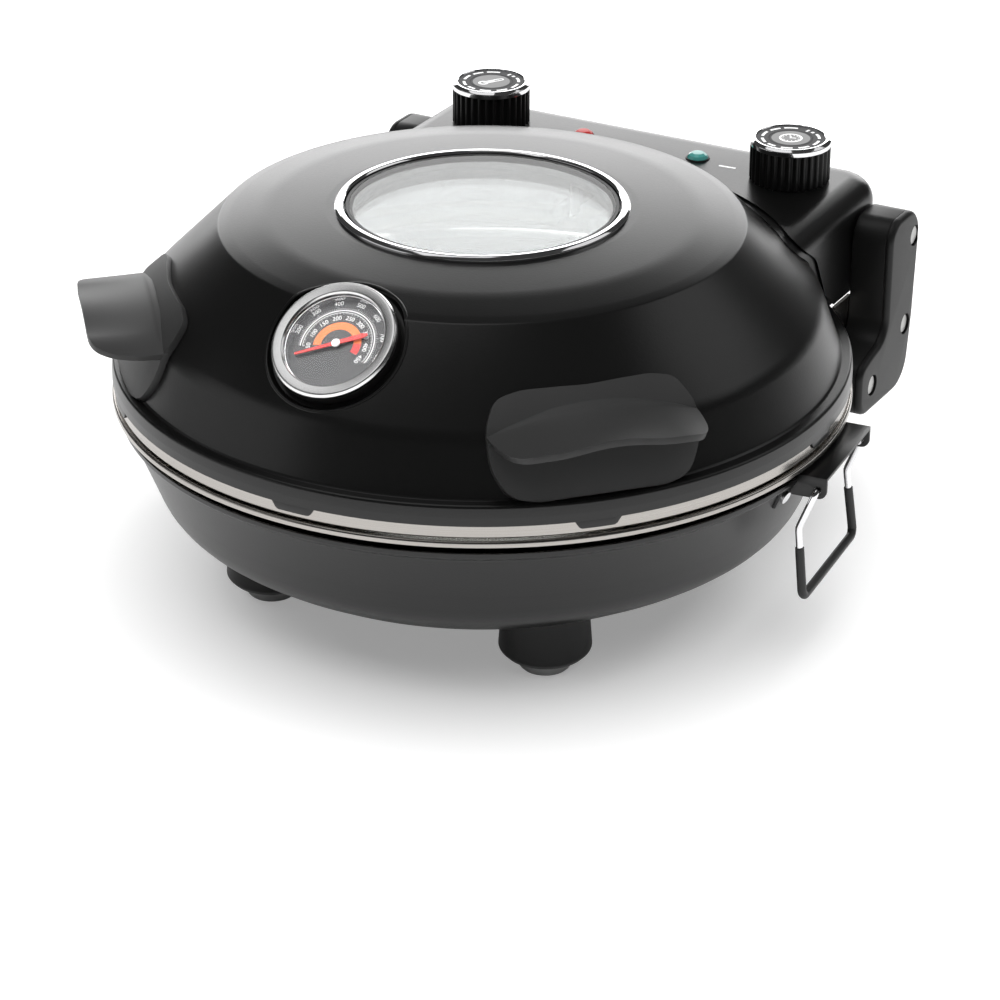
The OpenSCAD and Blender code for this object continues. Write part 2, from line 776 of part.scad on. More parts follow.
module arm_screws() {
    placed() color([0.75, 0.75, 0.74]) for (s = [1, -1]) {
        on_side(s) {
            translate([arm_cover_x + 1, 0, 0]) at_screws() cylinder(d = arm_screw_d - 2.4, h = 1.4);
            translate([arm_x, 0, 0]) at_screws() translate([0, 0, $start > 0 ? $start : -hinge_plate_t])
                cylinder(d = screw_d, h = arm_w + 1.5 - ($start > 0 ? $start : -hinge_plate_t));
        }
    }
}

// Steel plate behind each arm, cut to the bowl and flanged against it
module hinge_bracket(side_x) {
    plate_x = arm_x - hinge_plate_t;
    placed() color([0.72, 0.72, 0.71]) on_side(side_x) difference() {
        union() {
            along_x(plate_x, hinge_plate_t) polygon(bracket_outline);
            intersection() {
                bowl_solid(hinge_plate_t);
                translate([plate_x - hinge_flange_w, box_front, bracket_low_z])
                    cube([hinge_flange_w + hinge_plate_t, hinge_flange_l, bowl_neck_z - bracket_low_z]);
            }
        }
        bowl_solid();
        translate([plate_x - 1, 0, 0]) at_screws() cylinder(d = screw_hole_d, h = 4);
    }
}
hinge_flange_w = 16;
hinge_flange_l = 80;
bracket_low_z = arm_low_z + 8;
bracket_front_y = arm_foot_y - 22;
bracket_back_y = hinge_y + 6;
bracket_outline = [
    [bracket_front_y, bracket_low_z], [bracket_front_y, bowl_neck_z],
    [arm_foot_y + 10, bowl_neck_z], [arm_foot_y + 13, box_floor_z - 1.4],
    [arm_front_y + 2, box_floor_z - 1.4], [arm_front_y + 9, bracket_low_z + 35],
    [bracket_back_y, bracket_low_z + 35], [bracket_back_y, bracket_low_z + 22],
    [arm_front_y + 7, bracket_low_z]
];

// ---- Lid ----

module lid_shell() {
    placed() color([0.07, 0.07, 0.07]) difference() {
        union() {
            difference() {
                rotate_extrude() polygon(wall(lid_path, lid_t));
                at_gauge() translate([0, 0, -gauge_depth]) cylinder(r = pocket_r, h = 40);
            }
            gauge_pocket();
            crimp_tabs();
        }
        for (x = [-1, 1]) {
            translate([x * element_leg_x, upper_leg_y, upper_element_z]) rotate([-90, 0, 0])
                cylinder(d = element_d + 2 * hole_clear, h = rim_r - upper_leg_y);
        }
        for (s = [-1, 1]) {
            at_handle_screws(s) cylinder(d = screw_hole_d, h = 12, center = true);
        }
    }
}

tab_h = 3.6;
tab_lap = 1.5;
tab_sink = 0.05;
tab_clear = 0.1;
tab_turn = 0.7;

module crimp_tabs() {
    for (i = [0:tab_count - 1]) {
        rotate([0, 0, i * 360 / tab_count + tab_turn - tab_angle / 2]) rotate_extrude(angle = tab_angle)
            translate([band_r + tab_clear, flange_z - tab_h])
                square([rim_r - band_r - tab_clear - tab_sink, tab_h + tab_lap]);
    }
}

// Flat-bottomed pocket pressed into the shoulder for the thermometer
module gauge_pocket() {
    difference() {
        intersection() {
            lid_solid();
            at_gauge() translate([0, 0, -gauge_depth - lid_t]) cylinder(r = pocket_r + lid_t, h = 20);
        }
        at_gauge() translate([0, 0, -gauge_depth]) cylinder(r = pocket_r, h = 40);
        at_gauge() translate([0, 0, -gauge_depth - 5]) cylinder(r = collar_r + hole_clear, h = 10);
    }
}

module lid_liner() {
    placed() color([0.75, 0.75, 0.74]) difference() {
        rotate_extrude() polygon(wall(liner_path, liner_t));
        for (x = [-1, 1]) {
            translate([x * element_leg_x, upper_leg_y, upper_element_z]) rotate([-90, 0, 0])
                cylinder(d = element_d + 2 * hole_clear, h = rim_r - upper_leg_y);
        }
        at_gauge() translate([0, 0, -stem_l]) cylinder(r = stem_r + hole_clear, h = stem_l);
    }
}

upper_leg_y = sqrt(upper_element_r * upper_element_r - element_leg_x * element_leg_x);
upper_open = asin(element_leg_x / upper_element_r);
leg_end_y = skirt_r + 4;

module upper_element() {
    placed() color([0.35, 0.34, 0.33]) translate([0, 0, upper_element_z]) {
        element_ring(upper_element_r, upper_open);
        for (x = [-1, 1]) {
            translate([x * element_leg_x, upper_leg_y, 0]) element_knuckle();
            translate([x * element_leg_x, upper_leg_y, 0]) rotate([-90, 0, 0])
                cylinder(d = element_d, h = leg_end_y - upper_leg_y, $fn = 32);
        }
    }
}

// Straps from the liner's roof down round the ring
module upper_element_clips() {
    strap_top_z = liner_roof_z(upper_element_r) - liner_t - 0.1;
    ring_top = upper_element_z + element_d / 2;
    placed() color([0.7, 0.7, 0.68]) for (a = [-30:120:210]) {
        rotate([0, 0, a]) translate([upper_element_r, 0, 0])
            translate([-4, -0.6, ring_top]) cube([8, 1.2, strap_top_z - ring_top]);
    }
}
// Height of the liner's roof at radius r
function liner_roof_z(r) =
    let (a = liner_path[0], b = liner_path[1]) a[1] + (b[1] - a[1]) * (r + 4 - a[0]) / (b[0] - a[0]);

// ---- Window ----

module window_ring() {
    lip_z = inner_pane_z - 1.2;
    placed() color([0.85, 0.85, 0.85]) rotate_extrude() polygon([
        [ring_in_r - 3, lip_z], [ring_in_r + 0.9, lip_z], [ring_in_r + 0.9, crown_z],
        [window_ring_r - 0.2, crown_z], [window_ring_r, crown_z + 0.4],
        [window_ring_r - 0.4, ring_top_z - 1.2], [window_ring_r - 1.4, ring_top_z - 0.2],
        [ring_in_r + 1.2, ring_top_z], [ring_in_r, ring_top_z - 0.7], [ring_in_r, inner_pane_z],
        [ring_in_r - 3, inner_pane_z]
    ]);
}

module window_inner_glass() {
    placed() color([0.8, 0.85, 0.85, 0.4]) translate([0, 0, inner_pane_z]) cylinder(r = pane_r, h = glass_t);
}

module window_gasket() {
    low = inner_pane_z + glass_t;
    placed() color([0.08, 0.08, 0.08]) rotate_extrude() polygon([
        [pane_r - 3, low], [pane_r, low], [pane_r, ring_top_z - 1.2],
        [pane_r - gasket_w, ring_top_z - 1.2], [pane_r - gasket_w, outer_pane_z],
        [pane_r - 3, outer_pane_z]
    ]);
}

module window_glass() {
    placed() color([0.8, 0.85, 0.85, 0.4]) translate([0, 0, outer_pane_z])
        cylinder(r = pane_r - gasket_w - 0.05, h = glass_t);
}

// ---- Lid handles ----

handle_mid = lid_bend[1];
handle_lean = 48;

// A handle's own frame: X points away from the bowl's axis, Y runs along the handle
module at_handle(side_x) {
    rotate([0, 0, -90 + side_x * handle_angle]) children();
}

// Straight out of the shoulder at the middle of a handle
module at_shoulder() {
    translate([handle_mid[0], 0, handle_mid[1]]) rotate([0, handle_lean, 0]) children();
}

module at_handle_screws(side_x) {
    at_handle(side_x) for (y = [-1, 1]) {
        rotate([0, 0, y * handle_half_angle * 0.6]) at_shoulder() children();
    }
}

// Outline of a handle's plate as points [down the slope, along], waisted at its top edge
plate_half_w = handle_mid[0] * sin(handle_half_angle);
plate_half = [
    [-16.3, 0], [-16.5, 0.4], [-18.1, 0.72], [-15.1, 0.87], [-6.1, 0.99], [3.9, 1],
    [13.9, 0.92], [21.9, 0.74], [26.5, 0.4], [27.3, 0]
];
plate_outline = concat(
    [for (p = plate_half) [p[0], p[1] * plate_half_w]],
    [for (i = [len(plate_half) - 2:-1:1]) [plate_half[i][0], -plate_half[i][1] * plate_half_w]]
);
// Plan of the grip as points [out, along]
grip_outline = [
    [grip_root_r, -grip_half_w], [grip_reach - 14, -grip_half_w], [grip_reach - 5, -grip_half_w + 3],
    [grip_reach, -grip_half_w + 10], [grip_reach, grip_half_w - 10],
    [grip_reach - 5, grip_half_w - 3], [grip_reach - 14, grip_half_w], [grip_root_r, grip_half_w]
];

module handle(side_x) {
    placed() color([0.13, 0.13, 0.13]) at_handle(side_x) difference() {
        union() {
            intersection() {
                at_shoulder() linear_extrude(60, center = true) polygon(plate_outline);
                difference() {
                    dome_solid(handle_t);
                    dome_solid();
                }
            }
            difference() {
                translate([0, 0, grip_z - grip_t]) linear_extrude(grip_t) polygon(grip_outline);
                dome_solid(handle_t / 2);
            }
        }
        for (y = [-1, 1]) {
            rotate([0, 0, y * handle_half_angle * 0.6]) at_shoulder()
                cylinder(d = screw_d, h = 2 * handle_hole, center = true);
        }
    }
}
handle_hole = 4.5;

module handle_screws() {
    head_t = 2;
    head_z = -lid_t - gap - head_t;
    placed() color([0.75, 0.75, 0.74]) for (s = [-1, 1]) {
        at_handle_screws(s) {
            translate([0, 0, head_z]) cylinder(d = 7, h = head_t);
            translate([0, 0, head_z]) cylinder(d = screw_d - 0.1, h = handle_t - 1 - head_z);
        }
    }
}

// ---- Control box ----

// The box's outside, shrunk by d on every face but its bottom and front
module box_form(d) {
    w = box_x - d;
    back = box_back - d;
    top = box_top_z - d;
    r = box_edge_r - d;
    c = box_corner_r - d;
    intersection() {
        linear_extrude(top) union() {
            translate([-w, box_front]) square([2 * w, back - c - box_front]);
            translate([-w + c, box_front]) square([2 * (w - c), back - box_front]);
            for (x = [-1, 1]) {
                translate([x * (w - c), back - c]) circle(r = c);
            }
        }
        translate([0, box_back + 10, 0]) rotate([90, 0, 0]) linear_extrude(far) union() {
            translate([-w, 0]) square([2 * w, top - r]);
            translate([-w + r, 0]) square([2 * (w - r), top]);
            for (x = [-1, 1]) {
                translate([x * (w - r), top - r]) circle(r = r);
            }
        }
        along_x(-far / 2, far) union() {
            translate([box_front, 0]) square([back - box_front, top - r]);
            translate([box_front, 0]) square([back - r - box_front, top]);
            translate([back - r, top - r]) circle(r = r);
        }
    }
}

module control_box_cover() {
    placed() color([0.07, 0.07, 0.07]) difference() {
        box_form(0);
        box_form(box_t);
        // The outer skin ends in a lip that stands off the dome, and a thinner one goes on to it
        difference() {
            rotate_extrude() polygon(lip_fill);
            box_form(lip_step);
        }
        translate([-far / 2, 0, -1]) cube([far, far, box_floor_z + 1]);
        lid_solid();
        cylinder(r = rim_r + bead_clear, h = skirt_z + 2 * bead_clear);
        for (x = [-1, 1]) {
            translate([x * knob_x, knob_y, box_top_z - 5]) cylinder(d = shaft_d + 2, h = 10);
            translate([x * lamp_x, lamp_y, box_top_z - 5])
                cylinder(d = lamp_neck_d + 2 * hole_clear, h = 10);
            translate([x * box_x, hinge_y, hinge_z]) rotate([0, 90, 0])
                cylinder(d = trunnion_d, h = 16, center = true);
        }
        translate([gland_x, box_back, gland_z]) rotate([90, 0, 0])
            cylinder(d = gland_d + 2 * hole_clear, h = 12, center = true);
    }
}
lamp_neck_d = lamp_d - 2;
gland_in = 59.8;
gland_x = gland_in - box_x;
gland_z = 128;
gland_d = 9;

module control_box_floor() {
    placed() color([0.25, 0.25, 0.25]) difference() {
        intersection() {
            box_form(box_t);
            translate([-far / 2, 0, box_floor_z]) cube([far, far, floor_t]);
        }
        lid_solid();
        for (p = box_screws_at) {
            translate([p[0], p[1], box_floor_z - 1]) cylinder(d = 3.4, h = 5);
        }
    }
}
outer_post_x = box_x - 14.3;
inner_post_x = knob_x - 42.8;
box_screws_at = [for (x = [-outer_post_x, -inner_post_x, inner_post_x, outer_post_x]) [x, hinge_y + 2]];

// Posts from the floor up to the cover, with a screw in each from below
module box_screws() {
    post_z = box_floor_z + floor_t;
    placed() color([0.7, 0.7, 0.7]) for (p = box_screws_at) {
        translate([p[0], p[1], 0]) {
            translate([0, 0, box_floor_z - 1.6]) cylinder(d = 6, h = 1.6);
            translate([0, 0, box_floor_z - 1.6]) cylinder(d = 3, h = 8);
            translate([0, 0, post_z]) cylinder(d = 6, h = box_inner_top - post_z);
        }
    }
}

// Hollow trunnion with its flange against the inside of the box's end wall
module trunnion(side_x) {
    flange_t = 5;
    placed() color([0.7, 0.7, 0.7]) on_side(side_x) difference() {
        union() {
            intersection() {
                translate([box_x - box_t - flange_t, hinge_y, hinge_z]) rotate([0, 90, 0])
                    cylinder(d = trunnion_d + 8, h = flange_t + 1);
                box_form(box_t);
            }
            translate([box_x - box_t - flange_t, hinge_y, hinge_z]) rotate([0, 90, 0])
                cylinder(d = trunnion_d, h = flange_t + box_t + arm_gap + trunnion_out);
        }
        translate([box_x - 20, hinge_y, hinge_z]) rotate([0, 90, 0]) cylinder(d = trunnion_d - 5, h = 60);
    }
}

// Body of a rotary control under the cover, with a bore for its shaft; it lies clear of the dome
module rotary_control(x, w, l) {
    placed() translate([x, knob_y, 0]) difference() {
        translate([-w / 2, -control_front, control_body_z]) cube([w, l, box_inner_top - control_body_z]);
        translate([0, 0, shaft_low_z]) cylinder(d = shaft_d + 2 * shaft_clear, h = 40);
    }
}

module thermostat() {
    color([0.85, 0.83, 0.78]) rotary_control(-knob_x, 30, 31);
}

module timer() {
    color([0.6, 0.6, 0.58]) rotary_control(knob_x, 34, 31);
}

module lamp_lens(x) {
    placed() translate([x, lamp_y, 0]) {
        translate([0, 0, box_top_z]) rotate_extrude() polygon(concat(
            [[0, 0], [lamp_d / 2, 0], [lamp_d / 2, 0.6]],
            bend([lamp_d / 2 - 0.4, 1], [lamp_d / 2 - 1, 3], [0, 3.2], 5)
        ));
        translate([0, 0, box_inner_top - 1]) cylinder(d = lamp_neck_d, h = box_t + 1.5);
    }
}

module red_lamp() {
    color([0.8, 0.05, 0.03]) lamp_lens(-lamp_x);
}

module green_lamp() {
    color([0.02, 0.4, 0.32]) lamp_lens(lamp_x);
}

module lamp_bodies() {
    placed() color([0.9, 0.9, 0.88]) for (x = [-lamp_x, lamp_x]) {
        translate([x, lamp_y, box_inner_top - 13]) cylinder(d = lamp_d + 1, h = 12);
    }
}

module cord_gland() {
    placed() color([0.05, 0.05, 0.05]) translate([gland_x, box_back, gland_z]) rotate([-90, 0, 0])
        difference() {
            union() {
                translate([0, 0, -box_t - 2]) cylinder(d = gland_d + 4, h = 2);
                translate([0, 0, -box_t - 2]) cylinder(d = gland_d, h = box_t + 2);
            }
            translate([0, 0, -20]) cylinder(d = 6.4, h = 40);
        }
}

// ---- Knobs ----

module knob(x) {
    ribs = 32;
    placed() translate([x, knob_y, knob_z]) difference() {
        union() {
            cylinder(d = knob_d - 1.6, h = knob_h - knob_ring_h);
            for (i = [0:ribs - 1]) {
                rotate([0, 0, i * 360 / ribs]) translate([knob_d / 2 - 1.6, -0.9, 0])
                    cube([1.4, 1.8, knob_h - knob_ring_h]);
            }
        }
        translate([0, 0, -1]) cylinder(d = knob_d - 6, h = knob_h - knob_ring_h - 3);
        translate([0, 0, -1]) cylinder(d = shaft_d, h = knob_h);
    }
}

module knob_hub(x) {
    placed() translate([x, knob_y, knob_z]) tube(6, shaft_d / 2, knob_h - knob_ring_h - 3);
}

module temperature_knob() {
    color([0.06, 0.06, 0.06]) {
        knob(-knob_x);
        knob_hub(-knob_x);
    }
}

module timer_knob() {
    color([0.06, 0.06, 0.06]) {
        knob(knob_x);
        knob_hub(knob_x);
    }
}

module knob_ring(x) {
    placed() color([0.85, 0.85, 0.85]) translate([x, knob_y, knob_top_z - knob_ring_h])
        rotate_extrude() polygon([
            [insert_d / 2, 0], [knob_d / 2, 0], [knob_d / 2, knob_ring_h - 1.4],
            [knob_d / 2 - 0.5, knob_ring_h - 0.4], [knob_d / 2 - 1.4, knob_ring_h],
            [insert_d / 2 + 0.4, knob_ring_h], [insert_d / 2, knob_ring_h - 0.4]
        ]);
}

module temperature_knob_ring() {
    knob_ring(-knob_x);
}

module timer_knob_ring() {
    knob_ring(knob_x);
}

module knob_insert(x) {
    placed() color([0.2, 0.2, 0.2]) translate([x, knob_y, knob_top_z - knob_ring_h])
        cylinder(d = insert_d, h = knob_ring_h - insert_sink);
}

module temperature_knob_insert() {
    knob_insert(-knob_x);
}

module timer_knob_insert() {
    knob_insert(knob_x);
}

module shaft(x) {
    placed() color([0.7, 0.7, 0.7]) translate([x, knob_y, shaft_low_z + 0.5])
        cylinder(d = shaft_d, h = knob_top_z - knob_ring_h - 1 - shaft_low_z);
}

module temperature_shaft() {
    shaft(-knob_x);
}

module timer_shaft() {
    shaft(knob_x);
}

// ---- Thermometer ----

module thermometer_bezel() {
    placed() color([0.85, 0.85, 0.85]) at_gauge() rotate_extrude() polygon([
        [dial_r + 1, -bezel_h], [bezel_r, -bezel_h], [bezel_r, -0.8], [bezel_r - 0.8, 0],
        [bezel_r - 2, 0], [dial_r, -bezel_h + lens_t], [dial_r + 1, -bezel_h + lens_t]
    ]);
}

module thermometer_case() {
    cup_r = bezel_r - 0.6;
    placed() color([0.05, 0.05, 0.05]) at_gauge() {
        difference() {
            translate([0, 0, -gauge_depth]) cylinder(r = cup_r, h = gauge_depth - bezel_h);
            translate([0, 0, -gauge_depth + 1.6]) cylinder(r = dial_r + 0.8, h = gauge_depth);
            translate([0, 0, -gauge_depth - 1]) cylinder(r = 1, h = 10);
        }
        difference() {
            translate([0, 0, -gauge_depth - 8]) cylinder(r = collar_r, h = 8);
            translate([0, 0, -gauge_depth - 1]) cylinder(r = 1, h = 2);
        }
        translate([0, 0, -gauge_depth - lid_t - 3]) cylinder(r = 10, h = 3, $fn = 6);
        translate([0, 0, -stem_l]) cylinder(r = stem_r, h = stem_l - gauge_depth - 2);
    }
}

module thermometer_dial() {
    placed() color([0.2, 0.2, 0.2]) at_gauge() translate([0, 0, -gauge_depth + 1.6]) difference() {
        cylinder(r = dial_r + 0.7, h = 0.6);
        translate([0, 0, -1]) cylinder(r = 1, h = 3);
    }
}

module thermometer_lens() {
    placed() color([0.8, 0.85, 0.85, 0.3]) at_gauge() translate([0, 0, -bezel_h])
        cylinder(r = dial_r + 0.9, h = lens_t);
}

module thermometer_needle() {
    spindle_r = 0.95;
    spindle_low = -gauge_depth + 0.3;
    placed() color([0.85, 0.15, 0.1]) at_gauge() {
        translate([0, 0, spindle_low]) cylinder(r = spindle_r, h = needle_z + 0.4 - spindle_low);
        translate([0, 0, needle_z]) cylinder(r = 2, h = 0.8);
        rotate([0, 0, needle_rest]) translate([-19, -0.8, needle_z + 0.1]) cube([34, 1.6, 0.5]);
    }
}
needle_rest = 30;

base_bowl();
inner_pan();
lower_element();
element_clips();
pizza_stone();
stone_rests();
feet();
foot_pads();
foot_screws();
bail_bracket(-1);  // bail_bracket_left
bail_bracket(1);  // bail_bracket_right
bracket_rivets();
bail_wire(-1);  // bail_wire_left
bail_wire(1);  // bail_wire_right
bail_sleeve(-1);  // bail_sleeve_left
bail_sleeve(1);  // bail_sleeve_right
hinge_bracket(-1);  // hinge_bracket_left
hinge_bracket(1);  // hinge_bracket_right
hinge_arm(-1);  // hinge_arm_left
hinge_arm(1);  // hinge_arm_right
arm_cover(-1);  // arm_cover_left
arm_cover(1);  // arm_cover_right
arm_screws();
lid_shell();
lid_liner();
upper_element();
upper_element_clips();
window_ring();
window_gasket();
window_glass();
window_inner_glass();
handle(-1);  // handle_left
handle(1);  // handle_right
handle_screws();
control_box_cover();
control_box_floor();
box_screws();
trunnion(-1);  // trunnion_left
trunnion(1);  // trunnion_right
thermostat();
timer();
red_lamp();
green_lamp();
lamp_bodies();
temperature_knob();
temperature_knob_ring();
temperature_knob_insert();
temperature_shaft();
timer_knob();
timer_knob_ring();
timer_knob_insert();
timer_shaft();
thermometer_bezel();
thermometer_case();
thermometer_dial();
thermometer_lens();
thermometer_needle();
cord_gland();
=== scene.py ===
import json
import math

import bpy
from mathutils import Matrix, Vector


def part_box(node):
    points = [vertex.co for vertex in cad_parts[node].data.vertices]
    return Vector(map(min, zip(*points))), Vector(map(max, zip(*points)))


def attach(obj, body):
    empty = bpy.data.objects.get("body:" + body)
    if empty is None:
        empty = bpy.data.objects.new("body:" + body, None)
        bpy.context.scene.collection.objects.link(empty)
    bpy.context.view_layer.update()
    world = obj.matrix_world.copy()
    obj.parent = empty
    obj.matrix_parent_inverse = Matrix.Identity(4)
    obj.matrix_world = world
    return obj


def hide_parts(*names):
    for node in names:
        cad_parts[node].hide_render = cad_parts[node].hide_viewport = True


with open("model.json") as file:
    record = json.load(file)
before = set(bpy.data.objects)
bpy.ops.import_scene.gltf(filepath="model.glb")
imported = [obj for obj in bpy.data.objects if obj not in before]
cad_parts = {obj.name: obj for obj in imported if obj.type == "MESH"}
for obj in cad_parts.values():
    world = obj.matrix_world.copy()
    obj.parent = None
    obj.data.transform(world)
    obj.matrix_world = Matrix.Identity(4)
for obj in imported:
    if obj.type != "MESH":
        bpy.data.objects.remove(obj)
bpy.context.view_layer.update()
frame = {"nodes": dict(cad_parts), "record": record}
NODES = frame["nodes"]


MM = 0.001

# ---- Driving places, in millimetres, from the frame ----
pan_low, pan_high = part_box("inner_pan")
RIM_R = (pan_high.x - pan_low.x) / 2 / MM
RIM_Z = pan_high.z / MM
AXIS_Y = (pan_high.y + pan_low.y) / 2 / MM
lid_low, lid_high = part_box("lid_shell")
FLANGE_Z = lid_low.z / MM + 3.6
CROWN_Z = lid_high.z / MM
STEPS = 256

# ---- Small tools ----


def settle():
    """Leaves edit mode with nothing selected."""
    if bpy.context.object and bpy.context.object.mode != "OBJECT":
        bpy.ops.object.mode_set(mode="OBJECT")
    bpy.ops.object.select_all(action="DESELECT")


def pick(piece):
    settle()
    piece.select_set(True)
    bpy.context.view_layer.objects.active = piece


def edit(piece, what="SELECT"):
    pick(piece)
    bpy.ops.object.mode_set(mode="EDIT")
    bpy.ops.mesh.select_all(action=what)


def choose(piece, kind, test):
    """Opens a piece in edit mode with only the edges or faces selected that pass the test."""
    edit(piece, "DESELECT")
    bpy.ops.mesh.select_mode(type=kind)
    bpy.ops.object.mode_set(mode="OBJECT")
    for part in piece.data.edges if kind == "EDGE" else piece.data.polygons:
        part.select = test(part)
    bpy.ops.object.mode_set(mode="EDIT")


def chosen_done():
    bpy.ops.mesh.select_mode(type="VERT")
    settle()


def bevel_where(piece, test, width, segments):
    """Rounds the edges whose two ends, in millimetres, pass the test."""
    spots = [vertex.co / MM for vertex in piece.data.vertices]
    choose(piece, "EDGE", lambda edge: test(*(spots[i] for i in edge.vertices)))
    bpy.ops.mesh.bevel(offset=width * MM, segments=segments, affect="EDGES", profile=0.5)
    chosen_done()


def named(piece, name):
    piece.name = name
    piece.data.name = name
    return piece


def rounded(points, closed=False, turn=9):
    """Points (x, y, z, fillet) in millimetres with their corners turned into arcs."""
    places = [Vector(p[:3]) for p in points]
    count = len(points)
    path = []
    for i, corner in enumerate(points):
        here, fillet = places[i], corner[3]
        if fillet <= 0 or (not closed and i in (0, count - 1)):
            path.append(here)
            continue
        back, ahead = places[i - 1] - here, places[(i + 1) % count] - here
        u, v = back.normalized(), ahead.normalized()
        half = u.angle(v) / 2
        reach = min(fillet / math.tan(half), 0.49 * back.length, 0.49 * ahead.length)
        radius = reach * math.tan(half)
        centre = here + (u + v).normalized() * radius / math.sin(half)
        first, last = here + u * reach - centre, here + v * reach - centre
        sweep = first.angle(last)
        steps = max(2, round(math.degrees(sweep) / turn))
        axis = first.cross(last).normalized()
        for k in range(steps + 1):
            path.append(centre + Matrix.Rotation(sweep * k / steps, 3, axis) @ first)
    return path


def flat(points, closed=False, turn=9):
    """Corners (r, z) or (r, z, fillet) of a profile as rounded points in the X-Z plane."""
    corners = [(p[0], 0, p[1], p[2] if len(p) > 2 else 0) for p in points]
    return rounded(corners, closed, turn)


def outline(name, path, closed):
    """A mesh of edges through the points, given in millimetres."""
    settle()
    bpy.ops.mesh.primitive_circle_add(vertices=len(path), fill_type="NOTHING")
    piece = named(bpy.context.object, name)
    for vertex, place in zip(piece.data.vertices, path):
        vertex.co = place * MM
    if not closed:
        ends = {0, len(path) - 1}
        choose(piece, "EDGE", lambda edge: set(edge.vertices) == ends)
        bpy.ops.mesh.delete(type="EDGE")
        chosen_done()
    return piece


def cleaned(piece, outward=None):
    """Merges doubles and turns the faces outward."""
    edit(piece)
    bpy.ops.mesh.remove_doubles(threshold=2e-6)
    bpy.ops.mesh.delete_loose()
    bpy.ops.mesh.select_all(action="SELECT")
    bpy.ops.mesh.normals_make_consistent(inside=False)
    settle()
    if outward is not None:
        lean = sum((p.center - outward).dot(p.normal) * p.area for p in piece.data.polygons)
        if lean < 0:
            edit(piece)
            bpy.ops.mesh.flip_normals()
            settle()
    return piece


def apply_modifier(piece, kind, **values):
    pick(piece)
    modifier = piece.modifiers.new(kind.lower(), kind)
    for key, value in values.items():
        setattr(modifier, key, value)
    bpy.ops.object.modifier_apply(modifier=modifier.name)
    return piece


def smooth(piece, angle=32):
    pick(piece)
    bpy.ops.object.shade_smooth_by_angle(angle=math.radians(angle))
    settle()
    return piece


def moved(piece, matrix):
    """Turns and moves the mesh itself, so the object stays at the origin."""
    pick(piece)
    piece.matrix_world = matrix
    bpy.ops.object.transform_apply(location=True, rotation=True, scale=True)
    settle()
    return piece


def at(x=0, y=0, z=0, turn=0, axis="Z"):
    """A place in millimetres, turned by degrees."""
    return Matrix.Translation(Vector((x, y, z)) * MM) @ Matrix.Rotation(math.radians(turn), 4, axis)


BOWL_AXIS = at(0, AXIS_Y, 0)


def copied(piece, name, matrix):
    twin = piece.copy()
    twin.data = piece.data.copy()
    bpy.context.scene.collection.objects.link(twin)
    twin.parent = None
    return moved(named(twin, name), matrix)


def joined(name, pieces):
    settle()
    for piece in pieces:
        piece.select_set(True)
    bpy.context.view_layer.objects.active = pieces[0]
    bpy.ops.object.join()
    settle()
    return named(pieces[0], name)


def ring_of(name, piece, count, first=0, centre=BOWL_AXIS):
    """Copies a piece evenly round an axis and joins the copies."""
    twins = [piece]
    for i in range(1, count):
        turn = centre @ Matrix.Rotation(2 * math.pi * i / count, 4, "Z") @ centre.inverted()
        twins.append(copied(piece, "twin", turn))
    if first:
        start = centre @ Matrix.Rotation(math.radians(first), 4, "Z") @ centre.inverted()
        for twin in twins:
            moved(twin, start)
    return joined(name, twins)


def spun(name, points, closed=True, steps=STEPS, angle=360, wall=0, place=BOWL_AXIS, smoothing=32):
    """A profile of (r, z, fillet) turned about the Z axis. An open one gets a wall inward."""
    piece = outline(name, flat(points, closed), closed)
    edit(piece)
    bpy.ops.mesh.spin(steps=steps, angle=math.radians(-angle), center=(0, 0, 0), axis=(0, 0, 1))
    settle()
    inside = Vector((0, 0, points[0][1] * MM - 0.06)) if not closed else None
    cleaned(piece, inside)
    if wall:
        apply_modifier(piece, "SOLIDIFY", thickness=wall * MM, offset=-1, use_even_offset=True)
    if smoothing:
        smooth(piece, smoothing)
    return moved(piece, place)


def cut(piece, tool, how="DIFFERENCE"):
    apply_modifier(piece, "BOOLEAN", object=tool, operation=how, solver="EXACT")
    bpy.data.objects.remove(tool)
    return piece


def softened(piece, width, segments=3, angle=40, smoothing=35):
    apply_modifier(piece, "BEVEL", width=width * MM, segments=segments, limit_method="ANGLE",
                   angle_limit=math.radians(angle), use_clamp_overlap=True)
    return smooth(piece, smoothing)


def from_frame(node, name, width, segments=3):
    """A merged copy of a CAD node with its edges rounded; it replaces the node."""
    source = NODES[node]
    piece = source.copy()
    piece.data = source.data.copy()
    bpy.context.scene.collection.objects.link(piece)
    piece.parent = None
    for key in list(piece.keys()):
        del piece[key]
    named(piece, name)
    pick(piece)
    if piece.data.has_custom_normals:
        bpy.ops.mesh.customdata_custom_splitnormals_clear()
    edit(piece)
    bpy.ops.mesh.remove_doubles(threshold=2e-6)
    bpy.ops.mesh.dissolve_limited(angle_limit=math.radians(0.5))
    settle()
    softened(piece, width, segments)
    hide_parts(node)
    return piece


def prism(name, path, low, high, place):
    """A closed outline in the X-Y plane, in millimetres, raised along Z from low to high."""
    piece = outline(name, [Vector((p[0], p[1], low)) for p in path], True)
    edit(piece)
    bpy.ops.mesh.edge_face_add()
    bpy.ops.mesh.extrude_region_move(TRANSFORM_OT_translate={"value": (0, 0, (high - low) * MM)})
    settle()
    cleaned(piece)
    return moved(piece, place)


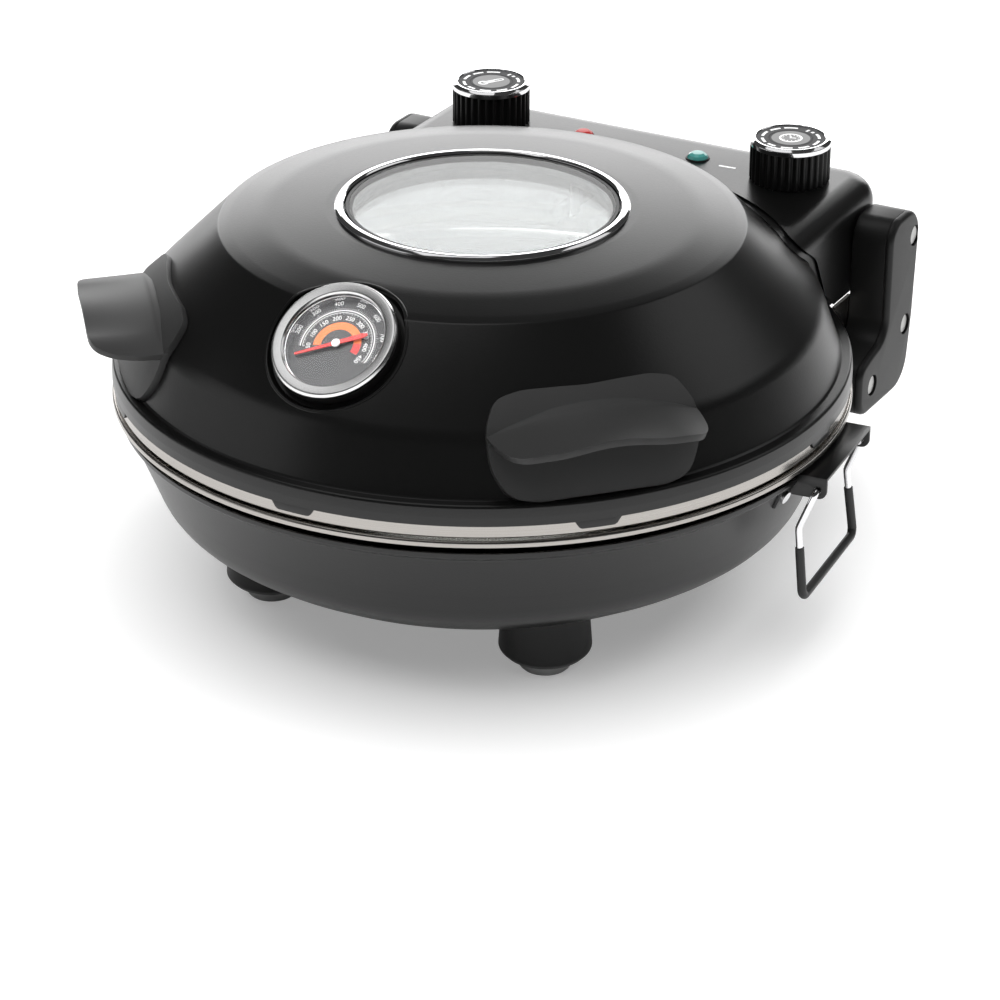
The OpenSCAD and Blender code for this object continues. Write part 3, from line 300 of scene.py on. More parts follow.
def tube(name, points, width, place, cyclic=False):
    """Round wire through rounded points (x, y, z, fillet)."""
    settle()
    path = rounded(points, cyclic, turn=12)
    line = bpy.data.curves.new(name, "CURVE")
    line.dimensions = "3D"
    line.bevel_depth = width / 2 * MM
    line.bevel_resolution = 8
    line.use_fill_caps = True
    spline = line.splines.new("POLY")
    spline.points.add(len(path) - 1)
    spline.use_cyclic_u = cyclic
    for point, spot in zip(spline.points, path):
        point.co = (*(spot * MM), 1)
    piece = bpy.data.objects.new(name, line)
    bpy.context.scene.collection.objects.link(piece)
    pick(piece)
    bpy.ops.object.convert(target="MESH")
    piece = named(bpy.context.object, name)
    cleaned(piece)
    smooth(piece, 50)
    return moved(piece, place)


def finished(piece, material, body, slot, *nodes):
    """Gives a piece its material and body, and hides the nodes that it stands for. The slot is not used."""
    piece.data.materials.clear()
    piece.data.materials.append(material)
    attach(piece, body)
    if nodes:
        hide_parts(*nodes)
    return piece


# ---- Node groups shared by the materials ----


def new_group(name, **values):
    """A group that takes a place and the named numbers, and puts out height, roughness and a mask."""
    group = bpy.data.node_groups.new(name, "ShaderNodeTree")
    group.interface.new_socket("Vector", in_out="INPUT", socket_type="NodeSocketVector")
    for label, value in values.items():
        socket = group.interface.new_socket(label, in_out="INPUT", socket_type="NodeSocketFloat")
        socket.default_value = value
    for label in ("Height", "Roughness", "Mask"):
        group.interface.new_socket(label, in_out="OUTPUT", socket_type="NodeSocketFloat")
    return group, group.nodes.new("NodeGroupInput"), group.nodes.new("NodeGroupOutput")


def math_node(tree, how, a, b=None):
    node = tree.nodes.new("ShaderNodeMath")
    node.operation = how
    for socket, value in zip(node.inputs, (a, b)):
        if isinstance(value, (int, float)):
            socket.default_value = value
        elif value is not None:
            tree.links.new(value, socket)
    return node.outputs[0]


def noise_node(tree, vector, scale, detail=2):
    node = tree.nodes.new("ShaderNodeTexNoise")
    node.inputs["Detail"].default_value = detail
    if isinstance(scale, (int, float)):
        node.inputs["Scale"].default_value = scale
    else:
        tree.links.new(scale, node.inputs["Scale"])
    tree.links.new(vector, node.inputs["Vector"])
    return node.outputs["Fac"]


def finish_group(tree, inlet, end, fine, slow, mask):
    """Puts out the fine pattern as height, a mask, and a roughness that drifts and speckles."""
    drift, speck = (
        math_node(tree, "MULTIPLY", math_node(tree, "SUBTRACT", pattern, 0.5), inlet["Spread"])
        for pattern in (slow, fine)
    )
    rough = math_node(tree, "ADD", inlet["Roughness"], math_node(tree, "ADD", drift, speck))
    for label, value in (("Height", fine), ("Roughness", rough), ("Mask", mask)):
        tree.links.new(value, end.inputs[label])
    return tree


def grain_group():
    """Fine pebbled skin of paint or moulded plastic, with a slow change of gloss."""
    tree, start, end = new_group("skin_grain", Size=900.0, Roughness=0.4, Spread=0.08)
    inlet = start.outputs
    fine = noise_node(tree, inlet["Vector"], inlet["Size"], 3)
    slow = noise_node(tree, inlet["Vector"], 14.0)
    return finish_group(tree, inlet, end, fine, slow, slow)


def spun_group():
    """Fine lines that run round the bowl's axis, as on steel spun or brushed in a lathe."""
    lines_per_metre = 2600.0
    tree, start, end = new_group("turned_lines", Roughness=0.25, Spread=0.15)
    inlet = start.outputs
    split = tree.nodes.new("ShaderNodeSeparateXYZ")
    tree.links.new(inlet["Vector"], split.inputs[0])
    across = math_node(tree, "MULTIPLY", split.outputs["X"], split.outputs["X"])
    along = math_node(tree, "MULTIPLY", split.outputs["Y"], split.outputs["Y"])
    radius = math_node(tree, "SQRT", math_node(tree, "ADD", across, along))
    turn = math_node(tree, "ARCTAN2", split.outputs["Y"], split.outputs["X"])
    merge = tree.nodes.new("ShaderNodeCombineXYZ")
    for socket, value, scale in (("X", radius, lines_per_metre), ("Y", split.outputs["Z"], lines_per_metre),
                                 ("Z", math_node(tree, "SINE", turn), 5.0)):
        tree.links.new(math_node(tree, "MULTIPLY", value, scale), merge.inputs[socket])
    lines = noise_node(tree, merge.outputs[0], 1.0)
    slow = noise_node(tree, inlet["Vector"], 24.0)
    return finish_group(tree, inlet, end, lines, slow, lines)


SKIN_GRAIN = grain_group()
TURNED_LINES = spun_group()


# ---- Materials ----


def new_material(name, color, **sockets):
    material = bpy.data.materials.new(name)
    material.use_nodes = True
    tree = material.node_tree
    shader = tree.nodes["Principled BSDF"]
    shader.inputs["Base Color"].default_value = (*color, 1)
    for label, value in sockets.items():
        shader.inputs[label.replace("_", " ")].default_value = value
    return material, tree, shader


def place_node(tree, centre=(0, 0, 0)):
    """Object coordinates, centred on a point given in millimetres."""
    where = tree.nodes.new("ShaderNodeTexCoord")
    shift = tree.nodes.new("ShaderNodeMapping")
    shift.inputs["Location"].default_value = [-v * MM for v in centre]
    tree.links.new(where.outputs["Object"], shift.inputs["Vector"])
    return shift.outputs["Vector"]


def add_group(tree, group, vector, **values):
    node = tree.nodes.new("ShaderNodeGroup")
    node.node_tree = group
    tree.links.new(vector, node.inputs["Vector"])
    for label, value in values.items():
        node.inputs[label].default_value = value
    return node


def add_bump(tree, shader, height, depth):
    """Raises the surface by the height, times a depth in millimetres."""
    bump = tree.nodes.new("ShaderNodeBump")
    bump.inputs["Distance"].default_value = depth * MM
    bump.inputs["Strength"].default_value = 1.0
    tree.links.new(height, bump.inputs["Height"])
    tree.links.new(bump.outputs["Normal"], shader.inputs["Normal"])


def tinted(tree, shader, mask, dark, light):
    """Drives the base colour between two colours by a mask."""
    mix = tree.nodes.new("ShaderNodeMix")
    mix.data_type = "RGBA"
    mix.inputs[6].default_value = (*dark, 1)
    mix.inputs[7].default_value = (*light, 1)
    tree.links.new(mask, mix.inputs[0])
    tree.links.new(mix.outputs[2], shader.inputs["Base Color"])


def faced(name, group, place, dark, light, depth, values, sockets):
    """A material that takes its tone, gloss and bump from a group."""
    material, tree, shader = new_material(name, dark, **sockets)
    skin = add_group(tree, group, place_node(tree, place), **values)
    tree.links.new(skin.outputs["Roughness"], shader.inputs["Roughness"])
    tinted(tree, shader, skin.outputs["Mask"], dark, light)
    add_bump(tree, shader, skin.outputs["Height"], depth)
    return material


def grained(name, dark, light, rough, size, depth, spread=0.08, **sockets):
    """Paint, plastic or rubber: two close tones, a pebbled skin and a drifting gloss."""
    values = {"Size": size, "Roughness": rough, "Spread": spread}
    return faced(name, SKIN_GRAIN, (0, 0, 0), dark, light, depth, values, sockets)


def turned_metal(name, dark, light, rough, depth):
    """Metal with fine lines round the bowl's axis."""
    values = {"Roughness": rough, "Spread": 0.15}
    return faced(name, TURNED_LINES, (0, AXIS_Y, 0), dark, light, depth, values, {"Metallic": 1.0})


def plain_metal(name, dark, light, rough, size, depth, spread=0.06):
    return grained(name, dark, light, rough, size, depth, spread, Metallic=1.0)


def clear_glass(name, color, rough, ior):
    """Glass with a plain transmission and an even gloss."""
    material, tree, shader = new_material(name, color, Metallic=0.0, IOR=ior)
    shader.inputs["Transmission Weight"].default_value = 1.0
    skin = add_group(tree, SKIN_GRAIN, place_node(tree), Size=60.0, Roughness=rough, Spread=0.01)
    tree.links.new(skin.outputs["Roughness"], shader.inputs["Roughness"])
    return material


def baked_stone():
    """Pale fired stone with open pores and darker grains."""
    material, tree, shader = new_material("baked_stone", (0.7, 0.62, 0.5), Roughness=0.9)
    where = place_node(tree)
    coarse = noise_node(tree, where, 420.0, 4)
    ramp = tree.nodes.new("ShaderNodeValToRGB")
    ramp.color_ramp.elements[0].position = 0.36
    ramp.color_ramp.elements[0].color = (0.46, 0.38, 0.28, 1)
    ramp.color_ramp.elements[1].position = 0.56
    ramp.color_ramp.elements[1].color = (0.76, 0.69, 0.57, 1)
    tree.links.new(coarse, ramp.inputs["Fac"])
    tree.links.new(ramp.outputs["Color"], shader.inputs["Base Color"])
    add_bump(tree, shader, coarse, 0.3)
    return material


def grey(level):
    return (level, level, level)


BLACK_PAINT = grained("black_paint", grey(0.002), grey(0.0035), 0.3, 1000.0, 0.035, 0.06)
BLACK_PLASTIC = grained("black_plastic", grey(0.004), grey(0.007), 0.42, 1500.0, 0.02,
                        Specular_IOR_Level=0.32)
HANDLE_PLASTIC = grained("handle_plastic", grey(0.014), grey(0.02), 0.5, 1800.0, 0.02)
BRIGHT_STEEL = turned_metal("bright_steel", (0.33, 0.31, 0.29), (0.5, 0.48, 0.455), 0.24, 0.02)
PLATED_STEEL = plain_metal("plated_steel", (0.5, 0.5, 0.49), (0.64, 0.64, 0.63), 0.5, 300.0, 0.01)
CHROME = plain_metal("chrome", (0.8, 0.8, 0.81), (0.86, 0.86, 0.87), 0.08, 90.0, 0.002, 0.04)
SATIN_CHROME = plain_metal("satin_chrome", grey(0.78), grey(0.86), 0.2, 260.0, 0.004, 0.05)
ELEMENT_SHEATH = plain_metal("element_sheath", (0.16, 0.15, 0.14), (0.27, 0.26, 0.25), 0.45, 240.0, 0.03)
STONE = baked_stone()
GREY_RUBBER = grained("grey_rubber", grey(0.55), grey(0.63), 0.7, 1200.0, 0.03)
BLACK_RUBBER = grained("black_rubber", grey(0.012), grey(0.018), 0.45, 900.0, 0.015)
CLEAR_GLASS = clear_glass("clear_glass", (0.85, 0.87, 0.87), 0.01, 1.22)
LENS_GLASS = clear_glass("lens_glass", (1, 1, 1), 0.0, 1.15)
DIAL_GREY = grained("dial_grey", (0.04, 0.04, 0.043), (0.055, 0.055, 0.058), 0.4, 500.0, 0.004)
INSERT_GREY = grained("insert_grey", (0.05, 0.05, 0.051), (0.065, 0.065, 0.067), 0.6, 700.0, 0.01,
                      Specular_IOR_Level=0.12)
DISC_GREY = grained("disc_grey", grey(0.2), grey(0.26), 0.6, 700.0, 0.01,
                    Specular_IOR_Level=0.12)
PRINT_WHITE = grained("print_white", grey(0.8), grey(0.9), 0.5, 900.0, 0.004)
PRINT_ORANGE = grained("print_orange", (0.8, 0.2, 0.06), (0.85, 0.25, 0.09), 0.5, 900.0, 0.004)
NEEDLE_RED = grained("needle_red", (0.62, 0.03, 0.03), (0.7, 0.05, 0.04), 0.35, 900.0, 0.004)
RED_LENS = grained("red_lens", (0.3, 0.008, 0.008), (0.38, 0.02, 0.015), 0.12, 300.0, 0.01, 0.04,
                   Specular_IOR_Level=0.12)
GREEN_LENS = grained("green_lens", (0.03, 0.15, 0.135), (0.07, 0.28, 0.26), 0.06, 300.0, 0.01, 0.04)
WHITE_PLASTIC = grained("white_plastic", (0.75, 0.75, 0.72), (0.82, 0.82, 0.8), 0.3, 900.0, 0.01)

SLOT_LOOKS = {
    "black_paint": BLACK_PAINT, "black_plastic": BLACK_PLASTIC, "handle_plastic": HANDLE_PLASTIC,
    "bright_steel": BRIGHT_STEEL, "plated_steel": PLATED_STEEL, "chrome": CHROME,
    "element_sheath": ELEMENT_SHEATH, "stone": STONE, "grey_rubber": GREY_RUBBER,
    "black_rubber": BLACK_RUBBER, "glass": CLEAR_GLASS, "dial_face": DIAL_GREY,
    "needle_red": NEEDLE_RED, "insert_grey": INSERT_GREY, "red_lens": RED_LENS,
    "green_lens": GREEN_LENS, "white_plastic": WHITE_PLASTIC,
}


def dress_frame():
    """Every CAD node that stays visible gets the look of its slot."""
    for part in frame["record"]["subparts"]:
        node = NODES.get(part["node"])
        if node is None:
            continue
        look = SLOT_LOOKS[part["material_slot"]]
        if not node.data.materials:
            node.data.materials.append(look)
        for i in range(len(node.data.materials)):
            node.data.materials[i] = look


dress_frame()

# ---- Bowl, pan and feet ----

BOWL_Z = 22
BOWL_FLOOR_R = 100
BOWL_EDGE_R = RIM_R - 2.4
PAN_FLOOR_Z = 50.8
PAN_SHEET = 0.8
PAN_WALL_IN = 8.8
FOOT_REACH = 103.5
# Profiles are points (r, z, fillet) in millimetres
BOWL_PROFILE = [
    (0.02, BOWL_Z), (BOWL_FLOOR_R, BOWL_Z, 30), (128, BOWL_Z + 10.5, 120), (151.5, 49, 26), (158, 66, 30),
    (RIM_R - 5.6, RIM_Z - 11.6, 2.5), (BOWL_EDGE_R, RIM_Z - 9, 1.6), (BOWL_EDGE_R, RIM_Z - 6.8),
]


def make_bowl():
    """Sheet bowl with a shoulder that turns out to its edge, under the pan's flange."""
    bowl = spun("bowl", BOWL_PROFILE, closed=False, wall=1.2)
    finished(bowl, BLACK_PAINT, "base", "black_paint", "base_bowl")


def make_pan():
    """The pan's sheet turns out over the bowl's edge in a flange with a short rim."""
    wall_r = RIM_R - PAN_WALL_IN - PAN_SHEET
    rim = [
        (0.02, PAN_FLOOR_Z), (134, PAN_FLOOR_Z, 8), (wall_r - 11.2, 62, 10), (wall_r, RIM_Z - 8, 3),
        (wall_r, RIM_Z, 0.8), (RIM_R, RIM_Z, 0.8), (RIM_R, RIM_Z - 2.3),
    ]
    pan = spun("pan", rim, closed=False)
    apply_modifier(pan, "SOLIDIFY", thickness=PAN_SHEET * MM, offset=0, use_even_offset=True)
    smooth(pan)
    finished(pan, BRIGHT_STEEL, "base", "bright_steel", "inner_pan")


def make_feet():
    foot = spun("foot", [(0, 7.4), (18.4, 7.4, 1.4), (21.5, 10.6, 3.2), (19.4, 38), (0, 38)],
                steps=72, place=BOWL_AXIS @ at(FOOT_REACH))
    bowl = spun("bowl_fill", [(0, BOWL_Z)] + BOWL_PROFILE[1:6] + [(160, 80), (0, 80)])
    cut(foot, bowl)
    smooth(foot)
    feet = ring_of("feet_shells", foot, 4, 45)
    finished(feet, BLACK_PLASTIC, "base", "black_plastic", "feet")


make_bowl()
make_pan()
make_feet()

# ---- Lid: dome, liner and band ----

WINDOW_R = 68.2
PLATEAU = (121.2, 178.7)
SKIRT = (166.4, 118)
DOME_OUTSIDE = [
    (WINDOW_R - 3, CROWN_Z + 0.9), (WINDOW_R + 4, CROWN_Z + 0.8, 20), (100, CROWN_Z - 0.9, 60),
    (116, CROWN_Z - 3.9, 20),
    (PLATEAU[0], PLATEAU[1], 2.2), (157.8, 142.3, 17), (SKIRT[0], SKIRT[1], 0.8),
]
DOME_BEAD = [
    (SKIRT[0] + 0.9, SKIRT[1] - 1, 0.5), (RIM_R - 0.6, SKIRT[1] - 1.2, 1.6), (RIM_R, FLANGE_Z + 4, 3),
    (RIM_R, FLANGE_Z),
]
DOME_LINE = flat(DOME_OUTSIDE, turn=3)
GAUGE = at(0, AXIS_Y - 133, 170, 37.5, "X")
GAUGE_DEPTH = 8
TAB_TURN = 0.7
TAB_HALF_W = 10.6
TAB_COUNT = 8
POCKET_R = 32


def make_dome():
    dome = spun("lid_dome", DOME_OUTSIDE + DOME_BEAD, closed=False, wall=1, smoothing=0)
    pocket = spun("pocket", [(0, -GAUGE_DEPTH), (POCKET_R, -GAUGE_DEPTH), (POCKET_R, 30), (0, 30)],
                  steps=128, place=GAUGE)
    cut(dome, pocket)
    cup = spun("pocket_cup", [(6.4, -GAUGE_DEPTH), (POCKET_R - 1.5, -GAUGE_DEPTH, 0.8),
                              (POCKET_R, -GAUGE_DEPTH + 1.5, 0.8), (POCKET_R, 18), (POCKET_R + 1, 18),
                              (POCKET_R + 1, -GAUGE_DEPTH - 1), (6.4, -GAUGE_DEPTH - 1)],
               steps=128, place=GAUGE)
    inside = [(p[0] - 0.1, p[1] - 0.1) + tuple(p[2:]) for p in DOME_OUTSIDE[1:-1]]
    cut(cup, spun("dome_fill", [(0, 100), (0, CROWN_Z - 0.1)] + inside + [(SKIRT[0] - 4, 122), (158, 100)]),
        "INTERSECT")
    dome = joined("lid_dome", [dome, cup])
    smooth(dome, 28)
    finished(dome, BLACK_PAINT, "lid", "black_paint", "lid_shell")


def dome_height(radius):
    """Height of the dome's outer face at a radius, in millimetres."""
    for a, b in zip(DOME_LINE, DOME_LINE[1:]):
        if a.x <= radius <= b.x:
            return a.z + (b.z - a.z) * (radius - a.x) / (b.x - a.x)
    return CROWN_Z


def make_pocket_rim():
    """Rolled edge of the pocket: it follows the dome all round."""
    path = []
    reach, sink, count, halvings = POCKET_R + 0.75, 0.7, 72, 24
    for i in range(count):
        turn = 2 * math.pi * i / count
        low, high = -GAUGE_DEPTH, 30
        for _ in range(halvings):
            middle = (low + high) / 2
            spot = GAUGE @ (Vector((reach * math.cos(turn), reach * math.sin(turn), middle)) * MM) / MM
            if spot.z < dome_height(math.hypot(spot.x, spot.y - AXIS_Y)):
                low = middle
            else:
                high = middle
        path.append((reach * math.cos(turn), reach * math.sin(turn), low - sink, 0))
    rim = tube("pocket_rim", path, 1.8, GAUGE, cyclic=True)
    finished(rim, BLACK_PAINT, "lid", "black_paint")


def make_tabs():
    """Crimp tabs folded over the steel band, narrower at their free edge and bent round the lid."""
    half, low, high, step = TAB_HALF_W, FLANGE_Z - 3.7, FLANGE_Z + 0.5, 0.9
    corner = rounded([(-half, high, 0, 0), (-half, FLANGE_Z, 0, 0.6), (-half + 2.4, low, 0, 2.6),
                      (0, low, 0, 0)], False, 6)
    left = [(p.x, p.y) for p in corner[:-1]]
    floor = [(-half + 5.2 + 1.08 * i, low) for i in range(11)]
    right = [(-x, y) for x, y in reversed(left)]
    roof = [(half - step * i, high) for i in range(1, 23)]
    tab = prism("tab", left + floor + right + roof, RIM_R - 1.3, RIM_R - 0.05, Matrix.Identity(4))
    for vertex in tab.data.vertices:
        along, up, reach = vertex.co
        turn = along / (RIM_R * MM)
        vertex.co = Vector((reach * math.cos(turn), reach * math.sin(turn), up))
    cleaned(tab)
    softened(tab, 0.3, 2, 50)
    moved(tab, BOWL_AXIS)
    tabs = ring_of("crimp_tabs", tab, TAB_COUNT, TAB_TURN)
    finished(tabs, BLACK_PAINT, "lid", "black_paint")


def make_liner():
    band_r = RIM_R - 0.9
    band_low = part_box("lid_liner")[0].z / MM
    roof = [
        (WINDOW_R - 2.7, CROWN_Z - 9), (109, 164.7, 30), (143, 137, 20), (157.6, 121, 16), (158.4, 116, 2),
        (band_r - 0.6, FLANGE_Z + 4, 1.5), (band_r - 0.6, FLANGE_Z + 1.2, 0.6),
        (band_r, FLANGE_Z + 0.2, 0.6), (band_r, band_low, 1.2), (band_r - 1.1, band_low - 0.7),
    ]
    liner = spun("liner_and_band", roof, closed=False, wall=0.8)
    finished(liner, BRIGHT_STEEL, "lid", "bright_steel", "lid_liner")


make_dome()
make_pocket_rim()
make_tabs()
make_liner()

# ---- Window ----


def pane_of_glass(name, radius, low, high, edge, steps=STEPS, place=BOWL_AXIS):
    """A round pane; its extra rings of points keep the flat faces flat up to the rounded edge."""
    return spun(name, [(0, low), (radius - 3, low), (radius - 1.4, low), (radius, low, 0.4),
                       (radius, high, edge), (radius - 1.4, high), (radius - 3, high), (0, high)],
                steps=steps, place=place)


def make_window():
    ring_in = WINDOW_R - 4.6
    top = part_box("window_ring")[1].z / MM
    ring = spun("window_ring_chrome", [
        (ring_in - 3, CROWN_Z - 10.2), (ring_in + 0.9, CROWN_Z - 10.2), (ring_in + 0.9, CROWN_Z),
        (WINDOW_R, CROWN_Z, 0.2), (WINDOW_R - 0.2, top - 1.3, 1), (WINDOW_R - 1.5, top, 1.2),
        (ring_in + 0.8, top, 0.8), (ring_in, top - 0.9, 0.4), (ring_in, CROWN_Z - 9),
        (ring_in - 3, CROWN_Z - 9),
    ], smoothing=40)
    finished(ring, CHROME, "lid", "chrome", "window_ring")
    pane_r = ring_in - 1.75
    low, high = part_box("window_glass")
    pane = pane_of_glass("window_pane", pane_r, low.z / MM, high.z / MM, 1.0)
    finished(pane, CLEAR_GLASS, "lid", "glass", "window_glass")
    low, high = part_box("window_inner_glass")
    inner = pane_of_glass("window_inner_pane", ring_in - 0.1, low.z / MM, high.z / MM, 0.4)
    finished(inner, CLEAR_GLASS, "lid", "glass", "window_inner_glass")


make_window()

# ---- Lid handles ----

RIGHT_HANDLE_ANGLE = 46.9
LEFT_HANDLE_ANGLE = 50.4
PLATE_HALF_W = 47.5
HANDLE_T = 3
CREASE_X = 151.2
LIP_X = 185
GRIP_HALF_W = 47.6
GRIP_T = 3
CREASE_Z = 153.4
CREASE_FALL = 9.7
LIP_Z = 148.6
LIP_WAVE = 1.3
WAVE_HALF_W = 30
HOLLOW = 2.2
BEAD = 0.55


def grip_place(s, t):
    """A point of the grip's upper face: s runs along it from -1 to 1, t out from crease to lip."""
    y = GRIP_HALF_W * math.sin(s * math.pi / 2)
    share = abs(y) / GRIP_HALF_W
    crease_z = CREASE_Z - CREASE_FALL * share ** 2
    over = max(0, abs(y) - WAVE_HALF_W)
    wave = LIP_WAVE * math.cos(math.pi * min(abs(y), WAVE_HALF_W) / WAVE_HALF_W)
    lip_z = LIP_Z + wave - 0.014 * over ** 2 - 0.03 * over
    reach = (1 - share ** 9) ** 0.5
    lip_x = CREASE_X + (LIP_X - CREASE_X) * reach
    lip_z = crease_z + (lip_z - crease_z) * min(1, 1.3 * reach)
    x = CREASE_X + (lip_x - CREASE_X) * t
    hollow = HOLLOW * (1 - share ** 2) * math.sin(math.pi * t ** 0.6)
    hollow -= BEAD * math.exp(-((t - 0.05) / 0.035) ** 2) * (1 - share ** 4)
    z = crease_z + (lip_z - crease_z) * t - hollow
    return Vector((x, y, z))


def make_grip(name):
    across, along = 40, 72
    settle()
    bpy.ops.mesh.primitive_grid_add(x_subdivisions=along, y_subdivisions=across, size=2)
    grip = named(bpy.context.object, name)
    for vertex in grip.data.vertices:
        s, t = vertex.co.x, (vertex.co.y + 1) / 2
        vertex.co = grip_place(max(-0.9999, min(0.9999, s)), t) * MM
    cleaned(grip)
    if sum(p.normal.z for p in grip.data.polygons) < 0:
        edit(grip)
        bpy.ops.mesh.flip_normals()
        settle()
    apply_modifier(grip, "SOLIDIFY", thickness=GRIP_T * MM, offset=-1, use_even_offset=False)
    return softened(grip, 0.6, 3, 50)


def plate_outline():
    """Outline of a handle's plate as points [down the slope, along it], waisted at its top."""
    half = PLATE_HALF_W
    corners = [(-16.4, 0, 60), (-18.4, 0.62, 26), (-16.4, 0.86, 9), (-4, 1.0, 22), (12, 1.0, 26),
               (25.5, 0.86, 14), (29.2, 0.6, 16), (29.6, 0, 60)]
    points = [(p[0], p[1] * half, 0, p[2]) for p in corners]
    points += [(p[0], -p[1] * half, 0, p[2]) for p in reversed(corners[1:-1])]
    return rounded(points, closed=True, turn=6)


def make_handle(name, angle, node):
    turn = BOWL_AXIS @ at(turn=-90 + angle)
    shell = spun("plate", dome_wall(), steps=61, angle=48, place=at(turn=-24), smoothing=0)
    edit(shell)
    bpy.ops.mesh.select_all(action="DESELECT")
    bpy.ops.mesh.select_non_manifold()
    bpy.ops.mesh.edge_face_add()
    settle()
    cleaned(shell)
    lean = at(155, 0, 144.8, 48, "Y")
    stencil = prism("stencil", plate_outline(), -40, 40, lean)
    cut(shell, stencil, "INTERSECT")
    softened(shell, 0.7, 3, 45)
    grip = make_grip("grip")
    piece = joined(name, [shell, grip])
    moved(piece, turn)
    finished(piece, HANDLE_PLASTIC, "lid", "handle_plastic", node)


def dome_wall():
    """Closed profile of the plate's sheet, lying on the dome."""
    inner = flat([(118, 181.9), (157.8, 142.3, 17), (169.2, 110)], turn=3)
    path = [(p.x, p.z) for p in inner]
    outer = []
    for i, (r, z) in enumerate(path):
        a, b = path[max(i - 1, 0)], path[min(i + 1, len(path) - 1)]
        run, drop = b[0] - a[0], b[1] - a[1]
        size = math.hypot(run, drop)
        outer.append((r - drop / size * HANDLE_T, z + run / size * HANDLE_T))
    lifted = [(r + 0.06, z + 0.06) for r, z in path]
    return lifted + outer[::-1]


make_handle("lid_handle_right", RIGHT_HANDLE_ANGLE, "handle_right")
make_handle("lid_handle_left", -LEFT_HANDLE_ANGLE, "handle_left")

# ---- Control box ----

BOX_HALF_W = 119.8
BOX_BACK = 192
BOX_TOP = 159.7
BOX_FLOOR = 110
BOX_OPEN_Y = 60
BOX_BACK_ROUND = 19
BOX_TOP_ROUND = 12
BOX_WALL = 1.2


def box_skin(name, inset, wall):
    """Rounded box, open at its bottom and front."""
    half, back, top = BOX_HALF_W - inset, BOX_BACK - inset, BOX_TOP - inset
    settle()
    bpy.ops.mesh.primitive_cube_add(size=2)
    box = named(bpy.context.object, name)
    for vertex in box.data.vertices:
        x, y, z = vertex.co
        vertex.co = Vector((half * x, BOX_OPEN_Y if y < 0 else back, BOX_FLOOR if z < 0 else top)) * MM
    bevel_where(box, lambda a, b: min(a.y, b.y) > back - 1 and abs(a.z - b.z) > 5,
                BOX_BACK_ROUND - inset, 12)
    bevel_where(box, lambda a, b: min(a.z, b.z) > top - 0.01 and max(a.y, b.y) >= BOX_OPEN_Y + 1,
                BOX_TOP_ROUND - inset, 8)
    spots = [vertex.co / MM for vertex in box.data.vertices]

    def open_side(face):
        low = all(spots[i].z < BOX_FLOOR + 0.1 for i in face.vertices)
        return low or all(spots[i].y < BOX_OPEN_Y + 0.1 for i in face.vertices)

    choose(box, "FACE", open_side)
    bpy.ops.mesh.delete(type="FACE")
    chosen_done()
    apply_modifier(box, "SOLIDIFY", thickness=wall * MM, offset=-1, use_even_offset=True)
    return moved(box, BOWL_AXIS)


def make_box():
    """An outer skin that ends in a lip short of the dome, and an inner skin that reaches the dome."""
    below, above = 60, 200
    outer = box_skin("control_box_outer", 0, BOX_WALL - 0.05)
    lip = [(0, below), (0, above), (104, above), (PLATEAU[0] + 5, PLATEAU[1]), (162.8, 142.3, 17),
           (SKIRT[0] + 5, SKIRT[1] + 1, 6), (RIM_R + 7, BOX_FLOOR), (RIM_R + 7, below)]
    cut(outer, spun("lip_fill", lip))
    inner = box_skin("box_inner", BOX_WALL, 1.0)
    dome = [(0, below), (0, above), (100, above), (PLATEAU[0] - 4, PLATEAU[1] + 4.3), (158, 142.5, 17),
            (SKIRT[0] + 0.3, SKIRT[1] + 3), (RIM_R + 1.5, SKIRT[1] + 3), (RIM_R + 1.5, below)]
    cut(inner, spun("dome_fill", dome))
    box = joined("control_box_shell", [outer, inner])
    smooth(box, 30)
    finished(box, BLACK_PAINT, "lid", "black_paint", "control_box_cover")


make_box()

# ---- Hinge arms ----

ARM_X = 120.5
ARM_COVER_X = 138
ARM_OUT_X = 141.5
HINGE = (173, 132)
ARM_CORNERS = [
    (120.9, 58, 10), (120.9, 83.5, 9), (132, 87, 30), (151, 91, 13), (151, 148.5, 11), (187, 148.5, 14),
    (183, 92, 60), (177.5, 57, 17),
]
ARM_SCREWS = [(179.7, 134), (173.4, 89.4), (135.4, 71.4)]
BORE_R = 8.1
BORE_DEPTH = 14
RECESS_R = 5.3
RECESS_DEPTH = 2.5
# Turns an outline drawn in X-Y and raised along Z into one drawn in Y-Z and raised along X
UPRIGHT = Matrix(((0, 0, 1, 0), (1, 0, 0, 0), (0, 1, 0, 0), (0, 0, 0, 1)))


def bevel_level(piece, level, width, segments):
    """Rounds the edges that lie at one height of a prism, in millimetres."""
    bevel_where(piece, lambda a, b: max(abs(a.z - level), abs(b.z - level)) < 0.01, width, segments)


def slab(name, path, one_end, other_end):
    """A prism between two heights, whichever of them is the lower."""
    return prism(name, path, min(one_end, other_end), max(one_end, other_end), Matrix.Identity(4))


def circle_of(radius, count, centre):
    turns = [2 * math.pi * i / count for i in range(count)]
    return [(centre[0] + radius * math.cos(t), centre[1] + radius * math.sin(t)) for t in turns]


